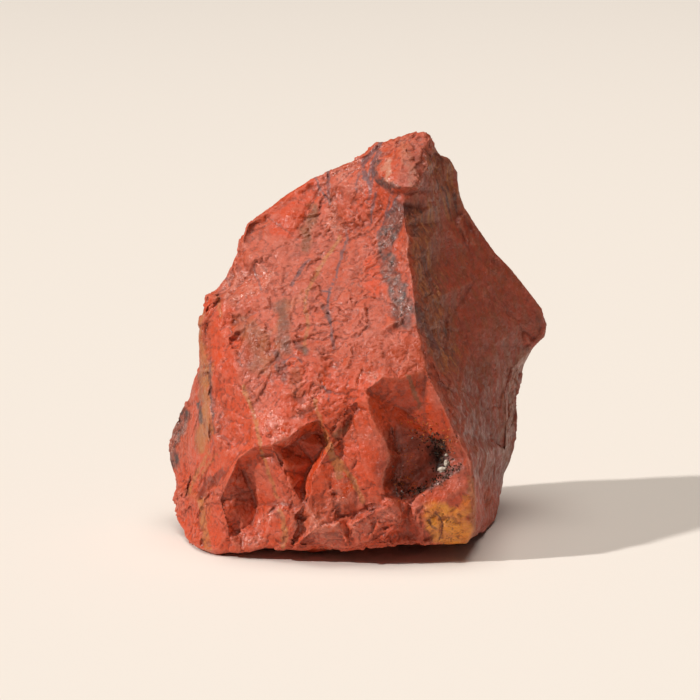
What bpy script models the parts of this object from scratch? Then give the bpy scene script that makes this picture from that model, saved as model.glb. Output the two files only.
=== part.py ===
"""A rough chunk of red jasper, broken from a larger block and resting on a small flat spot.

Metres, +Z up. The front, which faces -Y, is the side that the photograph shows. The origin is on the
surface that the stone rests on, below the middle of its box.

The main corners, ridges and valleys of the front are given by their pixels in the photograph and by their
depth, and those of the back in millimetres. Each side is stretched over its own points and the two are
joined along the outline. The blank is then remeshed finely, struck with flake scars and fractures,
simplified to flat facets and cut level where it rests.
"""

import math

import bmesh
import bpy
from mathutils import Vector, noise
from mathutils.bvhtree import BVHTree
from mathutils.geometry import delaunay_2d_cdt

MM = 0.001

# The photograph's view
PIXEL = 0.177 * MM
PICTURE_MIDDLE = 350
VIEW_DISTANCE = 600 * MM
VIEW_TILT = math.radians(12)
VIEW_TARGET = Vector((-1.4, 0.0, 31.7)) * MM
AHEAD = Vector((0.0, math.cos(VIEW_TILT), -math.sin(VIEW_TILT)))
UP = Vector((0.0, math.sin(VIEW_TILT), math.cos(VIEW_TILT)))
EYE = VIEW_TARGET - AHEAD * VIEW_DISTANCE

# The pattern of the fractures, the same on every run
FRACTURE_SEED = 11

# How finely the stone is worked and kept
VOXEL = 0.55 * MM
MOST_TRIANGLES = 8600
REST_LEVEL = 0.35 * MM

# The crust of small crystals in the pit: its middle and half sizes in pixels, and the rest in metres
CRUST_MIDDLE = (441, 459)
CRUST_HALF_WIDTH = 13
CRUST_HALF_HEIGHT = 17
CRYSTAL_SPACING = 2.6
CRUST_GAP = 0.3 * MM
CRUST_THICKNESS = 0.35 * MM
CRYSTAL_HEIGHT = 0.75 * MM

JASPER_RED = (0.42, 0.075, 0.035, 1.0)
DRUSE_BROWN = (0.12, 0.07, 0.05, 1.0)

# The stone's outline in the photograph, clockwise from its peak: pixel column, pixel row, depth in
# millimetres behind the stone's middle.
OUTLINE = [
    (424, 131, 4), (431, 133, 5), (435, 141, 7), (439, 153, 8), (449, 157, 9), (457, 170, 10),
    (460, 196, 10), (464, 206, 9.5), (476, 225, 9), (496, 254, 8.5), (508, 266, 8.5), (520, 280, 9),
    (542, 309, 9), (547, 325, 9.5), (545, 336, 10), (533, 348, 10.5), (524, 365, 10.5), (519, 393, 10),
    (517, 430, 9.5), (514, 449, 9), (509, 464, 8.5), (504, 474, 8), (502, 488, 6), (499, 505, 3),
    (494, 521, -1), (484, 532, -7), (475, 536, -14), (466, 544, -26), (440, 545, -28), (410, 546, -28.5),
    (372, 549, -29), (350, 551, -28.5), (330, 549, -28), (300, 550, -27.5), (270, 549, -26.5),
    (243, 553, -25.5), (213, 553, -23), (200, 552, -20), (190, 546, -16), (184, 535, -12), (176, 518, -7),
    (172, 500, -3), (176, 489, -2), (175, 477, -1), (170, 463, 1), (169, 448, 2.5), (172, 430, 3),
    (178, 417, 3), (187, 397, 1), (192, 383, -1), (199, 368, -5), (199, 350, -6), (198, 338, -6),
    (201, 315, -5.5), (203, 294, -5), (214, 290, -3.5), (224, 277, -2), (232, 264, -1), (237, 254, -0.5),
    (240, 238, 0), (247, 222, 2.5), (261, 213, 3.5), (290, 192, 5.5), (306, 182, 6), (325, 171, 6.5),
    (350, 160, 6.5), (363, 152, 6.5), (375, 142, 6), (386, 140, 5.5), (401, 135, 5), (414, 131, 4.5),
]

# Ridges and valleys of the front, in the same terms
FRONT_LINES = {
    "arris": [
        (421, 190, -4.5), (404, 194, -5), (403, 204, -6), (405, 226, -9), (409, 241, -11), (407, 255, -12.5),
        (413, 281, -16), (414, 316, -20), (415, 332, -21.5), (420, 343, -22.5), (426, 370, -25),
        (440, 399, -27), (455, 433, -28.2), (468, 458, -28.8), (471, 480, -29), (473, 500, -29),
        (472, 530, -28), (466, 544, -26),
    ],
    "knob lip": [(376, 170, -0.6), (384, 180, -3.4), (396, 187, -6), (414, 187, -7), (421, 184, -6)],
    "knob edge": [(421, 185, -5.5), (424, 172, -3.2), (428, 166, -1.8), (425, 148, 0.8), (431, 133, 5)],
    "under knob": [(364, 172, 2.6), (374, 186, 0.6), (390, 193, -2.6), (404, 194, -5)],
    "knob side": [(383, 150, 3.4), (376, 158, 1.6), (376, 170, -0.6)],
    "strip edge": [(533, 348, 10.5), (512, 368, 3.5), (505, 395, 1.5), (506, 426, 1), (505, 449, 2), (504, 474, 8)],
    "fold": [(460, 218, 8), (470, 253, 4.5), (475, 281, 2.5), (483, 296, 1.5), (492, 316, 1)],
    "left shelf": [(172, 500, -3), (185, 496, -9), (198, 495, -14.5), (207, 501, -19.5), (219, 500, -23)],
    "lip back": [(207, 501, -19.5), (220, 484, -21), (233, 463, -22.5), (240, 454, -23)],
    "lip": [
        (219, 500, -23), (229, 478, -24.2), (238, 458, -24.2), (252, 448, -25.8), (272, 445, -27),
        (290, 437, -27.4), (302, 427, -27.2), (318, 421, -26.8),
    ],
    "first valley": [(238, 458, -24.2), (244, 470, -22.6), (250, 486, -21.8), (254, 500, -21.6), (257, 510, -21.8)],
    "first rim": [(228, 535, -24.8), (240, 530, -23.4), (252, 524, -22.9), (263, 519, -24.6)],
    "foot edge": [(219, 500, -23), (224, 515, -24), (228, 528, -24.8), (228, 535, -24.8)],
    "second edge": [(272, 445, -27), (276, 456, -26.6), (282, 470, -27), (292, 486, -27.9), (304, 505, -28.6)],
    "under lip": [(258, 456, -24.2), (271, 455, -25)],
    "second root": [(257, 510, -21.8), (262, 507, -22.6), (270, 508, -24), (279, 503, -26), (290, 505, -27.2), (304, 505, -28.6)],
    "dome": [(263, 519, -24.6), (272, 513, -26.4), (284, 509, -28.2), (295, 515, -28.8), (296, 530, -29), (290, 547, -27.8)],
    "crack foot": [(304, 505, -28.6), (300, 517, -27.8), (297, 532, -27.4)],
    "third roof": [(284, 448, -24.6), (296, 441, -23.6), (308, 433, -23.4), (320, 433, -23.6)],
    "third wall": [(324, 446, -25), (314, 463, -24.2), (308, 475, -24.2), (307, 490, -24.8), (305, 502, -27.2)],
    "third rim": [(329, 449, -28), (319, 465, -28), (312, 475, -28), (311, 490, -28.6), (306, 509, -29.2)],
    "flag left": [(357, 408, -26), (346, 424, -26), (342, 440, -26.6), (342, 456, -27), (350, 473, -28), (357, 490, -29)],
    "flag": [
        (366, 390, -27.4), (369, 410, -28.4), (376, 427, -29.2), (386, 442, -30), (391, 456, -30.4),
        (385, 472, -30.2), (383, 484, -30.2), (386, 496, -30.2),
    ],
    "slot": [(357, 408, -26), (344, 424, -24.6), (332, 438, -25.4)],
    "plate edge": [(355, 402, -26.8), (342, 418, -27.4), (329, 434, -27.4)],
    "brow step": [(366, 390, -27.4), (383, 377, -26.6), (400, 379, -26.2), (426, 370, -25)],
    "pit lip": [(386, 496, -30.2), (400, 499, -29.2), (412, 502, -28.8), (432, 488, -28.2), (450, 477, -28.2), (464, 466, -28.6)],
    "arch": [(412, 502, -28.8), (419, 512, -29.6), (422, 528, -29.8), (421, 545, -28.4)],
    "shell": [(372, 508, -29.2), (377, 504, -30.2), (386, 500, -30.6), (396, 503, -30.8)],
    "leaf": [
        (349, 541, -29.8), (354, 524, -31), (374, 511, -31.2), (393, 506, -31.2), (403, 513, -31), (400, 525, -31),
        (385, 537, -30.8), (372, 544, -30.2),
    ],
    "leaf foot": [(407, 517, -29), (403, 527, -29), (388, 539, -28.8)],
    "leaf back": [(346, 524, -29.2), (356, 514, -29.2), (372, 508, -29.2)],
}

# Single points that shape the faces between those lines
FRONT_POINTS = {
    "knob": [(390, 156, 0.6), (405, 150, -0.4), (400, 170, -3.6), (414, 165, -3)],
    "shaded shoulder": [(437, 168, 4.5), (436, 190, 1.5), (445, 180, 7), (452, 205, 6.5), (430, 208, -1.5), (441, 222, 2)],
    "shaded face": [
        (425, 250, -8), (440, 260, -2), (432, 300, -12), (455, 310, -4), (445, 350, -12), (470, 345, -5),
        (500, 300, 4.5), (520, 325, 6), (495, 345, 0), (460, 390, -15), (480, 400, -7), (478, 440, -14),
        (492, 440, -4), (490, 480, -6), (482, 500, -16), (488, 512, -9),
    ],
    "upper face": [
        (300, 240, -2.5), (350, 230, -2), (340, 280, -10), (270, 280, -8), (262, 310, -12.2), (380, 260, -9),
        (385, 220, -4), (320, 318, -15.6), (380, 300, -14.8), (290, 215, 0.5), (345, 185, 1.8), (230, 300, -9),
        (250, 255, -3.5), (400, 240, -9),
    ],
    "left strip": [(218, 330, -10), (232, 345, -15), (215, 370, -14), (240, 385, -19), (252, 420, -22.5)],
    "left side": [(206, 400, -13), (199, 412, -10), (190, 440, -7), (215, 430, -18), (205, 460, -15), (190, 475, -8), (225, 455, -21)],
    "chest": [
        (262, 340, -16), (300, 350, -20), (285, 390, -23), (268, 425, -25), (330, 350, -20.6), (330, 385, -24),
        (370, 335, -20.6), (385, 358, -23.6), (345, 395, -25.6), (400, 345, -22.6), (308, 408, -25.4),
    ],
    "plate": [(318, 412, -26.2), (333, 408, -26.4)],
    "foot": [(195, 520, -16), (208, 530, -21)],
    "lower middle": [(325, 480, -29), (335, 505, -30), (318, 525, -29.6), (340, 530, -29.6), (262, 540, -26.6)],
    "flag face": [(360, 450, -28.6), (368, 480, -29.6), (368, 505, -29.8)],
    "hollow": [(380, 396, -26), (392, 425, -26.4), (407, 412, -24.4), (424, 402, -24.8)],
    "pit": [
        (400, 455, -25.8), (394, 480, -26.2), (405, 490, -26.4), (420, 470, -24.6), (440, 452, -23.2),
        (428, 434, -24.4), (446, 432, -26.2), (455, 458, -26.2),
    ],
    "lower right": [(445, 500, -29.4), (462, 512, -29.4), (440, 525, -29.8)],
    "lower flakes": [(372, 527, -30.6), (408, 533, -28)],
}

# Corners of the sides that the photograph doesn't show: millimetres right, back and up.
BACK_POINTS = {
    "crest": (8, 11, 57),
    "brow": (-14, 9.5, 42),
    "shoulder": (20, 17, 42),
    "ridge top": (-3, 14.5, 36),
    "right cheek": (26, 18, 28),
    "middle": (6, 18, 25),
    "left cheek": (-18, 9.5, 26),
    "right hip": (21, 19.5, 12),
    "left hip": (-23, 8, 10),
    "belly": (-8, 13, 12),
    "heel left": (-17, 8.5, -0.4),
    "heel": (2, 15, -0.4),
    "heel right": (16, 14, -0.4),
    "sole": (-5, 0, -0.6),
    "sole front": (-8, -17, -0.2),
    "sole left": (-20, -8, -0.2),
    "sole right": (12, -8, 0.2),
}


# Large flakes that were struck off: column, row, half length, half width and depth in millimetres, and the
# turn of the length from level in degrees.
FRONT_SCARS = {
    "left waist": (186, 372, 7, 5, 1.2, 80),
    "upper right": (478, 232, 7, 4, 0.8, 60),
    "under lobe": (527, 392, 6, 4, 0.8, 85),
    "hollow beside the arris": (374, 280, 4.5, 2.6, 0.8, 70),
    "upper left": (268, 250, 6, 4, 0.7, 40),
    "cheek": (240, 320, 6, 4, 0.7, 110),
    "chest": (300, 375, 5.5, 4, 0.7, 60),
    "middle": (345, 300, 5, 3.5, 0.6, 100),
    "beside the crest": (340, 190, 5, 3, 0.6, 150),
    "shaded lobe": (500, 300, 7, 4.5, 0.7, 60),
    "shaded foot": (488, 505, 4, 3, 0.8, 90),
}

# The same for the sides that the photograph doesn't show: bearing in degrees, where 0 is the front and 90
# is the right, height in millimetres, half length, half width, depth and turn.
BACK_SCARS = {
    "below the crest": (165, 52, 9, 6, 2.2, 20),
    "right shoulder": (125, 46, 8, 6, 2.0, 60),
    "middle": (190, 38, 11, 8, 2.4, -25),
    "right cheek": (140, 26, 9, 7, 2.2, 75),
    "left cheek": (225, 28, 9, 7, 2.0, 100),
    "left brow": (250, 42, 7, 5, 1.5, 40),
    "heel": (185, 10, 10, 7, 2.4, 5),
    "left heel": (232, 9, 7, 5, 1.6, -30),
    "right heel": (130, 9, 8, 6, 2.0, 30),
    "left hip": (262, 20, 6, 4, 1.2, 80),
}


def seen(column, row, depth_mm):
    """The point that the photograph shows at a pixel, at a depth behind the middle of the stone."""
    across = (column - PICTURE_MIDDLE) * PIXEL / VIEW_DISTANCE
    rise = (PICTURE_MIDDLE - row) * PIXEL / VIEW_DISTANCE
    ray = AHEAD + Vector((across, 0.0, 0.0)) + UP * rise
    return EYE + ray * ((depth_mm * MM - EYE.y) / ray.y)


def pixel_of(point):
    """The pixel of the photograph, as column and row, at which a point is seen."""
    offset = point - EYE
    scale = VIEW_DISTANCE / (offset.dot(AHEAD) * PIXEL)
    return Vector((PICTURE_MIDDLE + offset.x * scale, PICTURE_MIDDLE - offset.dot(UP) * scale))


def sheet(lines, points):
    """Triangles over points in the picture's plane, kept inside the outline and creased along the lines.

    Each line is a list of points in space, and the first is the closed outline.
    """
    places = [place for line in lines for place in line] + points
    edges = []
    start = 0
    for line in lines:
        edges += [(start + i, start + i + 1) for i in range(len(line) - 1)]
        start += len(line)
    edges.append((len(lines[0]) - 1, 0))
    flat = [pixel_of(place) for place in places]
    inside = 1
    merge_pixels = 0.01
    _, _, faces, origins, _, _ = delaunay_2d_cdt(flat, edges, [], inside, merge_pixels)
    triangles = [[origins[corner][0] for corner in face] for face in faces]
    return places, triangles


def add_blank():
    """The stone's rough form: the front's sheet and the back's, joined along the outline."""
    outline = [seen(*place) for place in OUTLINE]
    lines = [[seen(*place) for place in line] for line in FRONT_LINES.values()]
    points = [seen(*place) for group in FRONT_POINTS.values() for place in group]
    hidden = [Vector(place) * MM for place in BACK_POINTS.values()]
    blank = bmesh.new()
    for places, triangles in (sheet([outline, *lines], points), sheet([outline], hidden)):
        corners = [blank.verts.new(place) for place in places]
        for triangle in triangles:
            blank.faces.new([corners[index] for index in triangle])
    bmesh.ops.remove_doubles(blank, verts=blank.verts, dist=0.001 * MM)
    loose = [vert for vert in blank.verts if not vert.link_faces]
    bmesh.ops.delete(blank, geom=loose, context="VERTS")
    bmesh.ops.recalc_face_normals(blank, faces=blank.faces)
    mesh = bpy.data.meshes.new("jasper_stone")
    blank.to_mesh(mesh)
    blank.free()
    return bpy.data.objects.new("jasper_stone", mesh)


def remesh(stone, voxel):
    """Give the stone an even mesh of small faces."""
    even = stone.modifiers.new("even", "REMESH")
    even.mode = "VOXEL"
    even.voxel_size = voxel
    apply_modifiers(stone)


def apply_modifiers(thing):
    """Make the result of an object's modifiers its mesh."""
    graph = bpy.context.evaluated_depsgraph_get()
    graph.update()
    mesh = bpy.data.meshes.new_from_object(thing.evaluated_get(graph))
    thing.modifiers.clear()
    worn = thing.data
    thing.data = mesh
    bpy.data.meshes.remove(worn)
    mesh.name = thing.name


def eased(low, high, value):
    """0 below the low value, 1 above the high one and a smooth rise between them."""
    share = min(max((value - low) / (high - low), 0.0), 1.0)
    return share * share * (3.0 - 2.0 * share)


def ledge(place, along, period, sharpness):
    """A slow rise and a sudden fall, over and over along a direction: -0.5 to 0.5."""
    share = (place.dot(along) / period + 1.1 * noise.noise(place / 6.5)) % 1.0
    rise = min(share, (1.0 - share) * sharpness)
    return rise / (sharpness / (1.0 + sharpness)) - 0.5


def fracture(place, normal):
    """How far the broken surface stands out at a place, both in millimetres."""
    warped = place + noise.noise_vector(place / 8.0) * 2.4
    broad = 0.45 * noise.noise(place / 13.0)
    large_cup = min(noise.voronoi(warped / 8.5)[0][0], 0.9) ** 2 - 0.3
    small_cup = min(noise.voronoi(warped / 3.9)[0][0], 0.9) ** 2 - 0.3
    steps = eased(-0.15, 0.35, noise.noise(place / 9.0 + Vector((7.0, 3.0, 1.0))))
    falls = steps * 0.55 * ledge(warped, Vector((-0.55, 0.25, -0.8)), 5.2, 9.0)
    cross_steps = eased(0.0, 0.4, noise.noise(place / 8.0 + Vector((1.0, 9.0, 4.0))))
    falls += cross_steps * 0.45 * ledge(warped, Vector((-0.85, -0.2, 0.45)), 4.3, 9.0)
    flake = 0.9 * large_cup + 0.5 * small_cup + falls
    smooth_side = eased(0.45, 0.8, normal.x) * eased(-16.0, 4.0, place.y + 0.4 * place.z)
    drawn_side = eased(0.1, 0.5, -normal.y) * eased(0.55, 0.2, normal.x)
    kept = (1.0 - 0.6 * smooth_side) * (1.0 - 0.65 * drawn_side)
    return (broad + flake) * kept + 0.25


def break_surface(stone):
    """Move the stone's surface in and out as a fracture in jasper does."""
    work = bmesh.new()
    work.from_mesh(stone.data)
    work.normal_update()
    moves = [(vert, fracture(vert.co / MM, vert.normal) * MM) for vert in work.verts]
    for vert, height in moves:
        vert.co += vert.normal * height
    work.to_mesh(stone.data)
    work.free()


def strike(work, tree, origin, ray, size):
    """Cut one flake scar, a shallow bowl, where a ray meets the surface."""
    half_length, half_width, depth, turn = size
    middle, normal, _, _ = tree.ray_cast(origin, ray)
    if middle is None:
        return
    near = [tree.find_nearest(middle + step * 2.5 * MM)[1] for step in compass(normal)]
    normal = sum(near, normal).normalized()
    level = Vector((0.0, 0.0, 1.0)).cross(normal).normalized()
    upright = normal.cross(level)
    angle = math.radians(turn)
    along = level * math.cos(angle) + upright * math.sin(angle)
    across = normal.cross(along)
    for vert in work.verts:
        offset = (vert.co - middle) / MM
        reach = (offset.dot(along) / half_length) ** 2 + (offset.dot(across) / half_width) ** 2
        height = offset.dot(normal)
        bowl = -depth * (1.0 - reach)
        if reach < 2.0 and bowl < height < 4.0 and height > -4.0:
            vert.co += normal * (bowl - height) * MM


def compass(normal):
    """Four directions along the surface with a normal."""
    level = Vector((0.0, 0.0, 1.0)).cross(normal).normalized()
    upright = normal.cross(level)
    return level, -level, upright, -upright


def strike_flakes(stone):
    """Cut the large scars of the front and of the back."""
    work = bmesh.new()
    work.from_mesh(stone.data)
    for column, row, *size in FRONT_SCARS.values():
        tree = BVHTree.FromBMesh(work)
        strike(work, tree, EYE, seen(column, row, 0) - EYE, size)
    for bearing, height, *size in BACK_SCARS.values():
        tree = BVHTree.FromBMesh(work)
        angle = math.radians(bearing)
        outward = Vector((math.sin(angle), -math.cos(angle), 0.0))
        middle = Vector((0.0, 0.0, height * MM))
        strike(work, tree, middle + outward * 100 * MM, -outward, size)
    work.to_mesh(stone.data)
    work.free()


def simplify(stone):
    """Turn the fine mesh into flat facets, small where the surface is sharp."""
    fewer = stone.modifiers.new("facets", "DECIMATE")
    fewer.ratio = MOST_TRIANGLES / len(stone.data.polygons) / 2
    fewer.use_collapse_triangulate = True
    apply_modifiers(stone)


def drop_chips(work):
    """Delete every separate bit of the mesh but the largest."""
    bits = []
    waiting = set(work.verts)
    while waiting:
        bit = {waiting.pop()}
        front = list(bit)
        while front:
            vert = front.pop()
            beside = {edge.other_vert(vert) for edge in vert.link_edges} - bit
            bit |= beside
            front.extend(beside)
        waiting -= bit
        bits.append(bit)
    bits.sort(key=len)
    for bit in bits[:-1]:
        bmesh.ops.delete(work, geom=list(bit), context="VERTS")


def cut_rest(stone):
    """Cut the stone level where it rests, and put its origin below the middle of its box."""
    work = bmesh.new()
    work.from_mesh(stone.data)
    everything = work.verts[:] + work.edges[:] + work.faces[:]
    level = Vector((0.0, 0.0, REST_LEVEL))
    up = Vector((0.0, 0.0, 1.0))
    cut = bmesh.ops.bisect_plane(work, geom=everything, plane_co=level, plane_no=up, clear_inner=True)
    rim = [part for part in cut["geom_cut"] if isinstance(part, bmesh.types.BMEdge)]
    filled = bmesh.ops.holes_fill(work, edges=rim, sides=0)
    bmesh.ops.triangulate(work, faces=filled["faces"], quad_method="BEAUTY", ngon_method="BEAUTY")
    drop_chips(work)
    bmesh.ops.recalc_face_normals(work, faces=work.faces)
    low = [min(vert.co[axis] for vert in work.verts) for axis in range(3)]
    high = [max(vert.co[axis] for vert in work.verts) for axis in range(3)]
    shift = -Vector(((low[0] + high[0]) / 2, (low[1] + high[1]) / 2, low[2]))
    bmesh.ops.translate(work, verts=work.verts, vec=shift)
    work.to_mesh(stone.data)
    work.free()
    return shift


def add_crust(stone, shift):
    """The small crystals of the pit: a thin crust, grown together, just clear of the stone behind it."""
    work = bmesh.new()
    work.from_mesh(stone.data)
    tree = BVHTree.FromBMesh(work)
    work.free()
    eye = EYE + shift
    flat = []
    tips = []
    for rank in range(-8, 9):
        for step in range(-9, 10):
            across = (step + (rank % 2) / 2) * CRYSTAL_SPACING
            down = rank * CRYSTAL_SPACING * math.sqrt(3) / 2
            if (across / CRUST_HALF_WIDTH) ** 2 + (down / CRUST_HALF_HEIGHT) ** 2 < 1.0:
                flat.append(Vector((CRUST_MIDDLE[0] + across, CRUST_MIDDLE[1] + down)))
                tips.append((step - rank // 2 + 2 * rank) % 3 == 0)
    _, _, faces, _, _, _ = delaunay_2d_cdt(flat, [], [], 0, 0.01)
    crust = bmesh.new()
    is_tip = crust.verts.layers.int.new("is_tip")
    for pixel, tip in zip(flat, tips):
        ray = (seen(pixel.x, pixel.y, 0) + shift - eye).normalized()
        place = tree.ray_cast(eye, ray)[0]
        crust.verts.new(place - ray * CRUST_GAP)[is_tip] = tip
    crust.verts.ensure_lookup_table()
    for face in faces:
        crust.faces.new([crust.verts[index] for index in face])
    grown = bmesh.ops.extrude_face_region(crust, geom=crust.faces[:], use_keep_orig=True)
    for vert in grown["geom"]:
        if isinstance(vert, bmesh.types.BMVert):
            size = vert[is_tip] * (0.75 + 0.5 * noise.noise(vert.co / (1.7 * MM)))
            vert.co -= AHEAD * (CRUST_THICKNESS + CRYSTAL_HEIGHT * size)
    bmesh.ops.recalc_face_normals(crust, faces=crust.faces)
    if crust.calc_volume(signed=True) < 0.0:
        bmesh.ops.reverse_faces(crust, faces=crust.faces)
    mesh = bpy.data.meshes.new("druse_crust")
    crust.to_mesh(mesh)
    crust.free()
    return bpy.data.objects.new("druse_crust", mesh)


def stone_material(name, color, roughness):
    """A plain mineral surface."""
    material = bpy.data.materials.new(name)
    material.use_nodes = True
    surface = material.node_tree.nodes["Principled BSDF"]
    surface.inputs["Base Color"].default_value = color
    surface.inputs["Roughness"].default_value = roughness
    return material


def main():
    for thing in list(bpy.data.objects):
        bpy.data.objects.remove(thing)
    noise.seed_set(FRACTURE_SEED)
    shelf = bpy.data.collections.new("rough_jasper")
    bpy.context.scene.collection.children.link(shelf)
    stone = add_blank()
    shelf.objects.link(stone)
    remesh(stone, VOXEL)
    strike_flakes(stone)
    break_surface(stone)
    remesh(stone, VOXEL)
    simplify(stone)
    shift = cut_rest(stone)
    stone.data.materials.append(stone_material("jasper", JASPER_RED, 0.6))
    crust = add_crust(stone, shift)
    shelf.objects.link(crust)
    crust.data.materials.append(stone_material("druse", DRUSE_BROWN, 0.3))
    return shift


if __name__ == "__main__":
    main()
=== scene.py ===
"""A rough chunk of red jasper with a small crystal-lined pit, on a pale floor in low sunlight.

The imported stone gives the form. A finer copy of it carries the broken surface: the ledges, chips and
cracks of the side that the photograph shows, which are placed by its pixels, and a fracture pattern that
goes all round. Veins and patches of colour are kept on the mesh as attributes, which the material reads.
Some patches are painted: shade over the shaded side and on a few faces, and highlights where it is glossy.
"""

from __future__ import annotations

import logging
import math
from dataclasses import dataclass, field
from enum import Enum, IntEnum

import bmesh
import bpy
import numpy as np
from mathutils import Matrix, Vector, noise
from mathutils.bvhtree import BVHTree
from mathutils.geometry import delaunay_2d_cdt

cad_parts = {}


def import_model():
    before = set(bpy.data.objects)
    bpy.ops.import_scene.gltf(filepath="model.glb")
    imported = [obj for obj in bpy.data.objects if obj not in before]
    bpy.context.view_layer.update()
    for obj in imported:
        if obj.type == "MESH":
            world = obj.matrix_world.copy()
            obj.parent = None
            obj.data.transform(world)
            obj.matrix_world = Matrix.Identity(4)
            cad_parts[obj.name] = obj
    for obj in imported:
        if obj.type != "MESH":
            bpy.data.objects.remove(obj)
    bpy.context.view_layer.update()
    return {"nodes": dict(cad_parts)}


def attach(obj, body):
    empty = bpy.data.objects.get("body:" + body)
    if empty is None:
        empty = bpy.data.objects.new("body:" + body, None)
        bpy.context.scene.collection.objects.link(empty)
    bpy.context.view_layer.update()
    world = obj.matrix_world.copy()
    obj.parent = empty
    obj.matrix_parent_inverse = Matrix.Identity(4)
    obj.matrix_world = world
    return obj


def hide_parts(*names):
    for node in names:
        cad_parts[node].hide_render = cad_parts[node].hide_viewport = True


MM = 0.001
LOG = logging.getLogger("jasper")

Pixel = tuple[float, float]

# The attributes of the stone's mesh that its material reads, beside those of the tints: how far a
# vertex stands out from those around it, and how far it is hidden from the photograph.
CURVE = "curve"
HIDDEN = "hidden"

# How strongly quartz, jasper's mineral, bends light.
QUARTZ_IOR = 1.54

# The seed of the noise that breaks up the surface.
NOISE_SEED = 5


def smooth(low: float, high: float, value: np.ndarray) -> np.ndarray:
    """An eased rise from 0 to 1.

    Args:
        low: the value at which it leaves 0.
        high: the value at which it reaches 1.
        value: the values to ease.

    Returns:
        The eased values.
    """
    share = np.clip((value - low) / (high - low), 0.0, 1.0)
    return share * share * (3.0 - 2.0 * share)


def linear(color: str) -> tuple[float, float, float, float]:
    """The linear colour of an sRGB hex value.

    Args:
        color: the hex value, such as #B4513C.

    Returns:
        Red, green, blue and an alpha of 1.
    """
    parts = [int(color[start : start + 2], 16) / 255 for start in (1, 3, 5)]
    red, green, blue = (part / 12.92 if part <= 0.04045 else ((part + 0.055) / 1.055) ** 2.4 for part in parts)
    return red, green, blue, 1.0


def add_object(name: str, data: bpy.types.ID) -> bpy.types.Object:
    """Put an object into the scene.

    Args:
        name: its name.
        data: its mesh, light or camera.

    Returns:
        The object.
    """
    thing = bpy.data.objects.new(name, data)
    bpy.context.scene.collection.objects.link(thing)
    return thing


def shake(
    pixels: np.ndarray, places: np.ndarray, wavers: tuple[tuple[float, float], ...]
) -> np.ndarray:
    """Shift pixels unevenly, so that what is drawn by them has a ragged course.

    Args:
        pixels: a column and row for each place.
        places: the same places in metres, one a row.
        wavers: for each waver its size in millimetres and its reach in pixels.

    Returns:
        The shifted pixels.
    """
    for size_mm, reach in wavers:
        shift = [noise.noise_vector(Vector(place / MM) / size_mm)[:2] for place in places]
        pixels = pixels + np.array(shift) * reach
    return pixels


def lumps(
    places: np.ndarray, size_mm: float, shift: tuple[float, float, float] = (0.0, 0.0, 0.0)
) -> np.ndarray:
    """Smooth noise at each place, about -1 to 1.

    Args:
        places: points in metres, one a row.
        size_mm: how wide its lumps are, in millimetres.
        shift: which part of the noise is read.

    Returns:
        A number for each place.
    """
    return np.array([noise.noise(Vector(place / MM) / size_mm + Vector(shift)) for place in places])


def add_node(
    tree: bpy.types.NodeTree,
    kind: str,
    settings: dict[str, object] | None = None,
    links: dict[str | int, object] | None = None,
) -> bpy.types.Node:
    """Add a node to a tree.

    Args:
        tree: the material's node tree.
        kind: the node's type, such as ShaderNodeMath.
        settings: values by property name.
        links: what each input takes its value from: an output socket, or a plain value.

    Returns:
        The new node.
    """
    node = tree.nodes.new(kind)
    for name, value in (settings or {}).items():
        setattr(node, name, value)
    for name, value in (links or {}).items():
        if isinstance(value, bpy.types.NodeSocket):
            tree.links.new(value, node.inputs[name])
        else:
            node.inputs[name].default_value = value
    return node


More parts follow.
